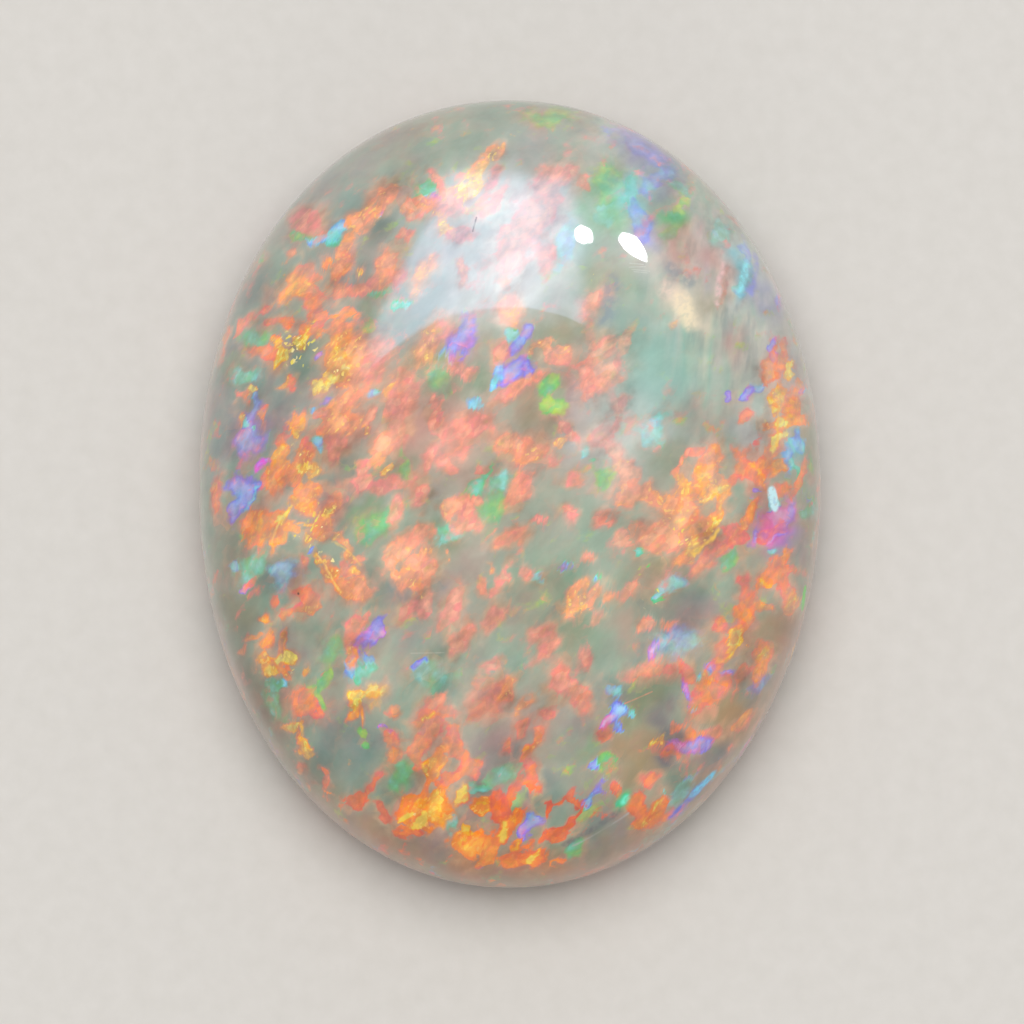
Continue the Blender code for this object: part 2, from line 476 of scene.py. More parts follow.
# %% Warm flashes of the left side
WARM_LEFT = (
    (-3.95, 3.78, 0.24, 0.14, -60, 0.3), (-3.87, 3.58, 0.14, 0.08, -70, 0.02, 0.05),
    (-3.25, 3.67, 0.14, 0.05, -5, 0.25), (-3.6, 3.64, 0.13, 0.07, 20, 0.6),
    (-5.05, 3.8, 0.11, 0.05, 20, 0.02, 0.1), (-5.36, 3.52, 0.14, 0.09, 45, 0, 0.15),
    (-4.5, 3.5, 0.15, 0.1, -70, 0.35), (-4.8, 3.55, 0.16, 0.06, 0, 0.05, 0.15),
    (-4.02, 3.33, 0.22, 0.11, -25, 0.38), (-4.12, 3.22, 0.22, 0.05, 60, 0.9),
    (-4.28, 3.05, 0.11, 0.08, 30, 1), (-4.95, 2.85, 0.3, 0.12, -10, 0.18),
    (-4.66, 2.75, 0.17, 0.13, 60, 0.95), (-4.7, 3.1, 0.14, 0.05, -40, 0.6),
    (-3.44, 3.28, 0.26, 0.18, 80, 0.32, 0.05), (-3.45, 2.9, 0.38, 0.27, 70, 0.62),
    (-3.52, 2.82, 0.14, 0.12, 40, 0.9), (-3.1, 2.8, 0.36, 0.14, 80, 0.5),
    (-2.75, 2.75, 0.34, 0.22, 75, 0.12, 0.2), (-3.33, 2.45, 0.3, 0.16, 60, 0.58),
    (-3.6, 2.35, 0.32, 0.13, 35, 0.96), (-3.18, 2.2, 0.36, 0.13, 70, 0.38, 0.05),
    (-3.35, 1.85, 0.46, 0.2, 50, 0.42), (-3.45, 1.4, 0.38, 0.24, 20, 0.45),
    (-3.52, 1.4, 0.16, 0.09, 10, 0.65), (-3.56, 1, 0.25, 0.17, 85, 0.05, 0.15),
    (-3.85, 1.6, 0.14, 0.07, 20, 0, 0.1), (-2.62, 1, 0.32, 0.13, 65, 0.4),
    (-2.96, 0.46, 0.15, 0.07, 95, 0.05), (-3, 0.2, 0.2, 0.09, 0, 0.02, 0.1),
    (-2.46, 0.46, 0.12, 0.06, 70, 0.85, 0.1), (-2.5, 0.18, 0.42, 0.1, 10, 0.15, 0.25),
    (-2.88, 1.55, 0.2, 0.07, 70, 0.22, 0.1), (-2.97, 1.36, 0.07, 0.04, -60, 0.8),
    (-2.48, 2.08, 0.24, 0.06, 65, 0.8, 0.15), (-2.5, 1.7, 0.15, 0.08, 60, 0.2, 0.2),
    (-2.25, 1.6, 0.52, 0.18, 85, 0.15, 0.4), (-4.22, 0.65, 0.3, 0.18, 60, 0.5),
    (-4.2, 0.5, 0.15, 0.11, 60, 0.9), (-4.14, 1.02, 0.15, 0.08, 60, 0.05, 0.1),
    (-4.42, 0.35, 0.16, 0.11, 60, 0.35), (-4.75, 0.65, 0.38, 0.12, 62, 0.62),
    (-4.6, 0.82, 0.16, 0.07, -65, 0.65), (-4.72, 0.32, 0.28, 0.17, 60, 0.4, 0.05),
    (-4.4, 1.3, 0.16, 0.06, -50, 0.8, 0.1), (-4.28, 1.48, 0.12, 0.09, 70, 0.65, 0.35),
    (-4.62, 1.1, 0.15, 0.09, 45, 0.1, 0.1), (-4, 0.45, 0.13, 0.07, 45, 0.75),
    (-4.12, 0.1, 0.22, 0.11, 10, 0.52), (-4.45, 2.25, 0.11, 0.09, 0, 0.15, 0.05),
    (-4.6, 2.26, 0.09, 0.05, 30, 0.7), (-5.45, 1.98, 0.1, 0.08, 0, 0.2, 0.05),
    (-5.22, 2.06, 0.12, 0.05, 10, 0.95), (-5.43, 1.5, 0.1, 0.04, 65, 0.9, 0.15),
    (-5.02, 1.5, 0.13, 0.04, -70, 0.6, 0.1), (-5.95, -0.05, 0.32, 0.09, 82, 0.18, 0.1),
    (-5.04, 0.2, 0.15, 0.05, 80, 0, 0.2), (-5.16, -0.65, 0.3, 0.19, 75, 0.42),
    (-5.2, -0.88, 0.13, 0.08, 80, 0.02), (-4.75, -0.6, 0.26, 0.13, 60, 0.32),
    (-4.55, -0.42, 0.24, 0.08, 60, 0.92), (-4.63, -0.82, 0.2, 0.08, 62, 0.55),
    (-4.4, -0.68, 0.17, 0.08, -50, 0.6), (-4.16, -0.15, 0.26, 0.14, -20, 0.52),
    (-3.62, -0.2, 0.24, 0.14, 70, 0.28), (-3.78, -0.55, 0.34, 0.17, 50, 0.48),
    (-3.7, -0.45, 0.12, 0.08, 60, 0.88), (-4.1, -0.86, 0.14, 0.07, 100, 0.85),
    (-4.08, -0.6, 0.22, 0.04, -20, 0.8), (-4.83, -1, 0.13, 0.05, 80, 0.6),
)
print(len(WARM_LEFT), "flashes")

# %% Warm flashes of the middle
WARM_HEART = (
    (0, 3.85, 0.28, 0.2, 90, 0.38, 0.35), (0.05, 3.62, 0.14, 0.12, 90, 0.55, 0.15),
    (-1.7, 3.05, 0.34, 0.18, 60, 0.55, 0.3), (-1.66, 2.88, 0.16, 0.1, 60, 0.8, 0.05),
    (-1.35, 3.35, 0.22, 0.18, 60, 0.1, 0.5), (-0.2, 2.9, 0.2, 0.14, 60, 0.04, 0.25),
    (0.95, 2.82, 0.28, 0.13, -20, 0.18), (0.72, 3.05, 0.18, 0.06, 15, 0.62),
    (1.1, 2.92, 0.13, 0.08, 0, 0.52), (1.85, 2.62, 0.52, 0.34, 42, 0.18, 0.08),
    (2.35, 3.1, 0.26, 0.11, 75, 0.28, 0.05), (1.45, 2.65, 0.22, 0.11, 25, 0.1, 0.15),
    (1.68, 2.2, 0.26, 0.08, 60, 0.18, 0.15), (0.6, 2.4, 0.13, 0.11, 45, 0.25),
    (0.2, 2.25, 0.23, 0.09, 50, 0.35, 0.05), (-0.15, 1.98, 0.2, 0.09, 30, 0.08, 0.1),
    (-1.15, 2.55, 0.2, 0.1, -10, 0.12, 0.5), (-0.85, 2.5, 0.13, 0.1, 60, 0.1, 0.4),
    (-2, 2.2, 0.17, 0.11, 90, 0.08, 0.3), (-2.2, 1.92, 0.42, 0.11, 85, 0.2, 0.35),
    (-1.45, 1.75, 0.2, 0.07, 100, 0.12, 0.2), (-1.44, 1.38, 0.28, 0.13, -58, 0.12, 0.05),
    (-0.86, 1.36, 0.3, 0.22, 25, 0.14, 0.05), (-1, 0.9, 0.2, 0.11, 20, 0.12, 0.2),
    (-1.25, 0.6, 0.14, 0.11, 0, 0.15, 0.1), (0.22, 0.98, 0.44, 0.2, -14, 0.38),
    (0.32, 0.72, 0.24, 0.12, 0, 0.48), (0.55, 0.86, 0.12, 0.1, 0, 0.6),
    (1.2, 1.25, 0.3, 0.09, -45, 0.06, 0.3), (0.8, 0.65, 0.13, 0.1, 0, 0.02, 0.3),
    (1.27, 0.25, 0.17, 0.11, 0, 0.08, 0.1), (0.2, 0.05, 0.35, 0.15, 52, 0.28, 0.15),
    (1.9, 1.2, 0.3, 0.14, 50, 0.1, 0.35), (-1.82, 0.02, 0.2, 0.14, 60, 0.1, 0.2),
    (-1.62, 0.7, 0.22, 0.08, 60, 0, 0.3), (-0.6, 0.5, 0.07, 0.05, 0, 0.12, 0.05),
    (1, 1, 0.06, 0.05, 0, 0.7, 0.1), (1.72, 3.92, 0.28, 0.14, 40, 0.14, 0.2),
    (2.25, 1.9, 0.2, 0.14, 60, 0.08, 0.35), (2.12, 1.28, 0.26, 0.08, 50, 0.08, 0.2),
    (2.1, 0.9, 0.36, 0.11, -60, 0.1, 0.35), (2.3, 0.55, 0.13, 0.09, 0, 0.65, 0.4),
    (-2, -0.9, 0.3, 0.15, 20, 0.3, 0.05), (-2.12, -1.15, 0.16, 0.1, 60, 0.5),
    (-1.72, -1.12, 0.14, 0.09, 20, 0.72, 0.05), (-1.85, -1.5, 0.32, 0.26, 60, 0.32, 0.05),
    (-2.05, -1.74, 0.38, 0.09, -58, 0.58), (-1.82, -1.95, 0.15, 0.11, 0, 0.35, 0.1),
    (-2.05, -2.35, 0.22, 0.13, 30, 0, 0.1), (-1.7, -2.25, 0.22, 0.07, 55, 0.04, 0.15),
    (-1.15, -2.3, 0.32, 0.19, 65, 0.04, 0.1), (-1.37, -2.65, 0.13, 0.07, 30, 0.02, 0.1),
    (-0.95, -0.35, 0.2, 0.19, 0, 0.12, 0.15), (-1.25, -0.3, 0.2, 0.11, 95, 0.42, 0.1),
    (-0.82, -0.6, 0.26, 0.12, 15, 0.14, 0.1), (-0.65, -0.12, 0.12, 0.07, 0, 0.22, 0.1),
    (-1.3, -1.3, 0.1, 0.03, 75, 0.7), (-0.02, -0.9, 0.32, 0.12, 20, 0.3, 0.2),
    (0.6, -0.5, 0.13, 0.06, 20, 0, 0.05), (1.2, -0.35, 0.12, 0.11, 0, 0.05, 0.1),
    (1.85, -0.5, 0.16, 0.14, 60, 0.2, 0.3), (-0.15, -1.75, 0.26, 0.09, 75, 0.08, 0.1),
    (-0.38, -1.56, 0.1, 0.03, -60, 0.55), (-0.3, -2.02, 0.13, 0.09, 60, 0.15, 0.25),
    (-0.56, -1.92, 0.12, 0.07, -60, 0.3, 0.25), (0.35, -1.55, 0.13, 0.09, -60, 0.15, 0.15),
    (-0.35, -2.55, 0.26, 0.14, 60, 0.1, 0.4), (-0.9, -2.75, 0.15, 0.12, 60, 0.22, 0.4),
    (-1.1, -3.02, 0.2, 0.14, 70, 0.1, 0.6), (-2.35, -0.35, 0.25, 0.08, 90, 0.1, 0.35),
    (-2.36, -1.2, 0.3, 0.13, 60, 0.35, 0.15), (-2.3, -1.66, 0.26, 0.09, -45, 0.5),
)
print(len(WARM_HEART), "flashes")

# %% Warm flashes of the right side
WARM_RIGHT = (
    (2.45, 0.35, 0.28, 0.14, -60, 0.25, 0.1), (2.45, 0, 0.28, 0.15, 20, 0.38, 0.08),
    (2.25, -0.25, 0.16, 0.04, 50, 0.62), (2.9, -0.05, 0.24, 0.13, 0, 0.48, 0.08),
    (3.5, 0.15, 0.26, 0.1, 82, 0.8), (3.75, 0.9, 0.12, 0.09, 60, 0.18, 0.1),
    (4.05, 0.78, 0.26, 0.18, 75, 0.38), (4.05, 0.88, 0.09, 0.07, 0, 0.65),
    (3.95, 0.3, 0.36, 0.25, 80, 0.58), (4.27, 0.32, 0.24, 0.1, -60, 0.32, 0.05),
    (3.92, 0.38, 0.16, 0.07, 60, 0.8), (4.22, 0.04, 0.26, 0.11, 40, 0.78),
    (4.9, 0.5, 0.35, 0.18, -60, 0.2, 0.1), (5.1, 0.38, 0.3, 0.07, -65, 0.6),
    (4.6, 0.3, 0.16, 0.08, 45, 0.12, 0.15), (5.4, 2.62, 0.36, 0.18, 60, 0.32),
    (5.62, 2.95, 0.16, 0.1, 90, 0.08, 0.1), (5.64, 2.5, 0.2, 0.06, 60, 0.82),
    (5.76, 1.95, 0.4, 0.19, 75, 0.32, 0.05), (5.4, 1.92, 0.34, 0.12, 82, 0.72),
    (5.6, 1.46, 0.42, 0.13, 12, 0.48, 0.05), (5.46, 1.48, 0.09, 0.08, 0, 0.95),
    (5.3, 0.8, 0.38, 0.14, 60, 0.28), (5.45, 1.05, 0.21, 0.09, 62, 1), (5.4, 0.55, 0.2, 0.06, 30, 0.5),
    (5.85, 0.3, 0.3, 0.06, 65, 0.22, 0.05), (5.52, 0.08, 0.18, 0.1, 30, 0.15, 0.15),
    (4.8, 1.6, 0.1, 0.1, 0, 0.08, 0.3), (3.45, 0.55, 0.16, 0.03, 70, 0.5),
    (3.45, -0.35, 0.4, 0.24, -15, 0.5, 0.06), (3.46, -0.48, 0.16, 0.06, 15, 0.85),
    (3.1, -0.88, 0.42, 0.26, -8, 0.35, 0.08), (4.32, -0.15, 0.34, 0.09, 70, 0.6),
    (4, -0.12, 0.14, 0.06, 20, 0.92), (4.19, -0.52, 0.13, 0.06, 80, 1),
    (3.8, -0.92, 0.5, 0.16, 47, 0.6), (3.7, -1.06, 0.22, 0.12, 52, 1),
    (3.9, -0.86, 0.11, 0.05, 60, 0.25), (4.55, -0.85, 0.27, 0.19, -60, 0.06),
    (4.8, -0.52, 0.32, 0.1, 62, 0.42), (4.1, -1.22, 0.3, 0.14, 45, 0.12, 0.35),
    (5.28, -0.8, 0.3, 0.11, 22, 0, 0.1), (5.35, -1.65, 0.36, 0.17, 45, 0.28),
    (5.25, -1.86, 0.15, 0.1, 0, 0.62), (5.6, -1.27, 0.16, 0.06, 45, 0.42),
    (5.66, -1.55, 0.2, 0.07, 0, 0.12, 0.05), (5.64, -1.95, 0.3, 0.13, 95, 0.1, 0.15),
    (5.75, -2.2, 0.22, 0.12, 80, 0.5), (5.83, -2.06, 0.11, 0.05, 85, 0.92),
    (5.12, -2.3, 0.16, 0.09, -20, 0.4, 0.2), (4.75, -1.95, 0.25, 0.11, 85, 0.04, 0.2),
    (4.8, -2.5, 0.42, 0.14, 72, 0.3), (4.58, -2.95, 0.26, 0.11, 60, 0.86),
    (4.38, -3.25, 0.13, 0.04, 50, 0.42, 0.05), (4.25, -2.72, 0.14, 0.09, -60, 0.04, 0.35),
    (4.3, -3.1, 0.16, 0.1, 90, 0.05, 0.45), (2.46, -1.9, 0.28, 0.08, 52, 0.2),
    (2.76, -2.62, 0.12, 0.08, 30, 0.15, 0.25), (3.25, -2.62, 0.15, 0.08, 15, 0.15, 0.2),
    (2.1, -0.55, 0.11, 0.06, 20, 0.15, 0.25), (2.02, -2.1, 0.12, 0.09, 0, 0.4, 0.25),
    (2.36, -0.95, 0.16, 0.09, -45, 0.08, 0.45), (1.28, -2.26, 0.19, 0.14, 12, 0.62),
    (1.4, -2.24, 0.09, 0.06, 50, 0.85), (1.36, -1.9, 0.21, 0.08, 38, 0.55),
    (1.7, -2.06, 0.26, 0.09, 42, 0.48), (1.76, -2.5, 0.13, 0.11, 60, 0.1, 0.5),
    (1.6, -1.25, 0.13, 0.1, 0, 0.1, 0.4), (5.15, -3.2, 0.25, 0.13, 0, 0.28),
    (5.1, -3.48, 0.28, 0.13, 76, 0.4), (5.17, -3.22, 0.08, 0.07, 0, 0.75),
    (4.75, -3.6, 0.2, 0.1, 80, 0.1, 0.45), (4.76, -4.6, 0.25, 0.09, 42, 0.42),
)
print(len(WARM_RIGHT), "flashes")

# %% Warm flashes of the foot, to the left
WARM_FOOT_LEFT = (
    (-3.32, -1.1, 0.3, 0.06, -50, 0.52), (-3.05, -1.3, 0.16, 0.04, 20, 0.32, 0.05),
    (-3.37, -1.45, 0.18, 0.06, 88, 0.04), (-3.16, -1.9, 0.28, 0.2, 0, 0.4),
    (-3.55, -1.75, 0.36, 0.08, -57, 0.6), (-3.15, -1.56, 0.07, 0.06, 0, 0.88),
    (-3.85, -1.5, 0.2, 0.02, -60, 0.85), (-3.95, -1.24, 0.05, 0.04, 0, 0.9),
    (-3.58, -0.9, 0.05, 0.04, 0, 0.95), (-4.2, -1.35, 0.12, 0.06, -60, 0.05, 0.15),
    (-4.22, -2.2, 0.34, 0.15, 38, 0.1), (-4.18, -2.32, 0.24, 0.08, 25, 0.42),
    (-4.52, -2.44, 0.13, 0.05, 40, 0.35), (-4.78, -2.2, 0.1, 0.06, -70, 0.1),
    (-4.97, -2.57, 0.1, 0.09, 0, 0.52), (-5.2, -2.87, 0.11, 0.06, 0, 0.3, 0.05),
    (-4.95, -3, 0.14, 0.1, 90, 0.52), (-5.43, -3.2, 0.08, 0.05, 60, 0.3, 0.1),
    (-4.6, -3.08, 0.3, 0.07, 78, 0.42, 0.35), (-4.88, -3.5, 0.24, 0.17, 80, 0.72),
    (-4.86, -3.48, 0.1, 0.07, 80, 0.3), (-4.64, -3.64, 0.16, 0.09, -40, 0.32),
    (-4.6, -3.4, 0.16, 0.11, 30, 1), (-4.12, -3.6, 0.12, 0.05, 85, 0.75, 0.05),
    (-5.25, -1.75, 0.18, 0.05, 50, 0.08, 0.05), (-3.15, -2.8, 0.24, 0.13, 80, 0.08, 0.1),
    (-2.95, -2.58, 0.2, 0.06, 52, 0.08, 0.05), (-3.2, -3.28, 0.2, 0.08, 72, 0.48, 0.05),
    (-4.2, -4.25, 0.32, 0.2, -58, 0.18), (-4.05, -4.4, 0.14, 0.09, -30, 0.32),
    (-3.85, -4.45, 0.13, 0.06, -30, 0.12, 0.1), (-4.42, -4.72, 0.26, 0.09, 12, 0.7),
    (-4.36, -4.68, 0.09, 0.06, 0, 1), (-4.28, -4.95, 0.2, 0.03, 80, 0.25),
    (-4.2, -5.12, 0.21, 0.07, -70, 0.72), (-4.32, -5.62, 0.17, 0.1, -50, 0.3, 0.05),
    (-4.05, -5.9, 0.13, 0.05, 0, 0.85, 0.4), (-3.79, -5.72, 0.18, 0.05, -68, 0.1, 0.05),
    (-3.6, -6.12, 0.09, 0.03, -35, 0.55), (-3.12, -4.1, 0.18, 0.13, -60, 1),
    (-3.16, -4.4, 0.13, 0.06, 75, 0.6), (-3, -4.56, 0.2, 0.06, 88, 0.52),
    (-2.7, -4.05, 0.2, 0.15, 60, 0.98, 0.55), (-2.4, -4.45, 0.12, 0.08, 10, 0.22, 0.25),
    (-2.42, -4.92, 0.18, 0.12, -50, 0.15, 0.1), (-2.28, -5.3, 0.18, 0.11, 75, 0.36, 0.05),
    (-3.12, -6.2, 0.22, 0.13, 30, 0.1), (-2.82, -5.92, 0.32, 0.07, 45, 0.04, 0.15),
    (-1.6, -4.58, 0.36, 0.22, 70, 0.14, 0.05), (-1.62, -4.46, 0.12, 0.05, 60, 0.82),
    (-1.25, -4.42, 0.16, 0.08, -20, 0.1, 0.15), (-1.9, -5.2, 0.36, 0.14, 92, 0.14, 0.05),
    (-1.48, -5.45, 0.62, 0.13, 62, 0.5, 0.05), (-1.08, -5.1, 0.32, 0.13, -58, 0.14, 0.05),
    (-0.95, -5.56, 0.26, 0.14, 25, 0.14, 0.05), (-1.32, -5.78, 0.16, 0.1, 40, 0.22, 0.05),
    (-1.7, -5.58, 0.14, 0.04, 60, 0.72), (-1.98, -6.4, 0.36, 0.24, 52, 0.5),
    (-1.46, -6.34, 0.36, 0.24, 72, 0.7), (-1.8, -6.68, 0.14, 0.1, 45, 1),
    (-2.14, -6.64, 0.15, 0.07, 22, 0.96), (-2.05, -6.86, 0.25, 0.05, 0, 0.18, 0.05),
    (-1, -6.1, 0.16, 0.07, 60, 0.98, 0.4), (-2.62, -6.45, 0.22, 0.08, -55, 0, 0.3),
)
print(len(WARM_FOOT_LEFT), "flashes")

# %% Warm flashes of the foot, to the right
WARM_FOOT = (
    (-0.6, -6.36, 0.2, 0.15, 30, 0.68), (-0.22, -6.42, 0.38, 0.2, -62, 0.1),
    (0.04, -6.1, 0.2, 0.07, 60, 0.04, 0.05), (0, -6.7, 0.36, 0.16, 40, 0.42),
    (-0.17, -6.86, 0.22, 0.08, 55, 0.98), (-0.75, -7.15, 0.36, 0.28, -15, 0.58),
    (-0.92, -6.86, 0.16, 0.11, 80, 0.88), (-0.42, -7.25, 0.32, 0.12, 62, 0.45),
    (-0.58, -7.5, 0.24, 0.09, 30, 0.52, 0.1), (0.3, -7.42, 0.36, 0.21, 5, 0.36),
    (0.43, -7.36, 0.2, 0.08, 72, 0.96), (0.08, -7.12, 0.07, 0.06, 0, 0.5, 0.05),
    (0.95, -7.52, 0.14, 0.04, 35, 0.52), (0.45, -5.6, 0.3, 0.13, -80, 0.08, 0.1),
    (0.3, -5.86, 0.22, 0.05, -45, 0.12), (0.5, -5.05, 0.3, 0.06, 58, 0.42),
    (0.62, -4.8, 0.11, 0.07, 60, 0.3), (0.26, -4.72, 0.18, 0.11, 50, 0.2, 0.2),
    (0.3, -4.3, 0.2, 0.06, 45, 0.5, 0.35), (0.8, -4.42, 0.11, 0.09, 60, 0.04, 0.1),
    (-0.08, -5.06, 0.13, 0.08, 75, 0.12, 0.1), (-0.42, -4.22, 0.32, 0.26, 60, 0.14, 0.5),
    (-0.1, -3.96, 0.24, 0.17, 95, 0.4), (-0.35, -3.45, 0.2, 0.1, 30, 0.05, 0.45),
    (1.02, -3.8, 0.28, 0.18, 85, 0.1, 0.05), (1.35, -4.05, 0.28, 0.18, -55, 0.14, 0.08),
    (1.52, -3.4, 0.15, 0.11, 60, 0.05, 0.35), (0.7, -3.2, 0.26, 0.1, 45, 0.15, 0.4),
    (0.62, -2.8, 0.22, 0.1, 30, 0.12, 0.55), (0.75, -6.35, 0.18, 0.04, -82, 0.06),
    (1.02, -6.26, 0.24, 0.04, 20, 0.08, 0.1), (1.28, -6.22, 0.15, 0.06, -60, 0.04),
    (1.2, -6.7, 0.3, 0.05, 50, 0.04), (0.9, -6.94, 0.28, 0.08, 8, 0.16),
    (0.62, -6.95, 0.14, 0.05, 72, 0.08, 0.05), (1.9, -4.9, 0.13, 0.09, 60, 0.1, 0.35),
    (2.9, -3.62, 0.46, 0.14, 5, 0.12, 0.35), (3.55, -3.56, 0.3, 0.13, -60, 0.06, 0.2),
    (4.08, -3.92, 0.38, 0.2, 25, 0.2, 0.05), (4.06, -3.8, 0.11, 0.05, -60, 0.52),
    (3.88, -4.22, 0.26, 0.18, 60, 0.15, 0.05), (3.72, -4.86, 0.15, 0.11, 88, 0.4),
    (3.4, -4.76, 0.16, 0.04, 50, 0.2, 0.05), (3.95, -4.88, 0.09, 0.05, -30, 0.22, 0.05),
    (3.2, -5.26, 0.19, 0.1, -8, 0.14), (4.5, -5.14, 0.15, 0.05, 42, 0.25, 0.15),
    (4.42, -5.46, 0.2, 0.05, 42, 0.2, 0.25), (2.86, -5.78, 0.16, 0.08, 10, 0.08, 0.35),
    (2.15, -6, 0.13, 0.05, -72, 0.1, 0.1), (2.55, -6.42, 0.2, 0.15, -60, 0.22, 0.05),
    (2.95, -6.5, 0.36, 0.19, 58, 0.38), (3.06, -6.76, 0.3, 0.13, 25, 0.28, 0.1),
    (3, -6.24, 0.16, 0.05, 56, 0.75), (2.72, -6.6, 0.2, 0.04, 32, 0.6),
    (4.2, -4.85, 0.16, 0.11, 60, 0.15, 0.5), (3.02, -4.95, 0.13, 0.04, 52, 0.92, 0.25),
)
WARM_FLASHES = WARM_TOP + WARM_LEFT + WARM_HEART + WARM_RIGHT + WARM_FOOT_LEFT + WARM_FOOT
print(len(WARM_FLASHES), "warm flashes")

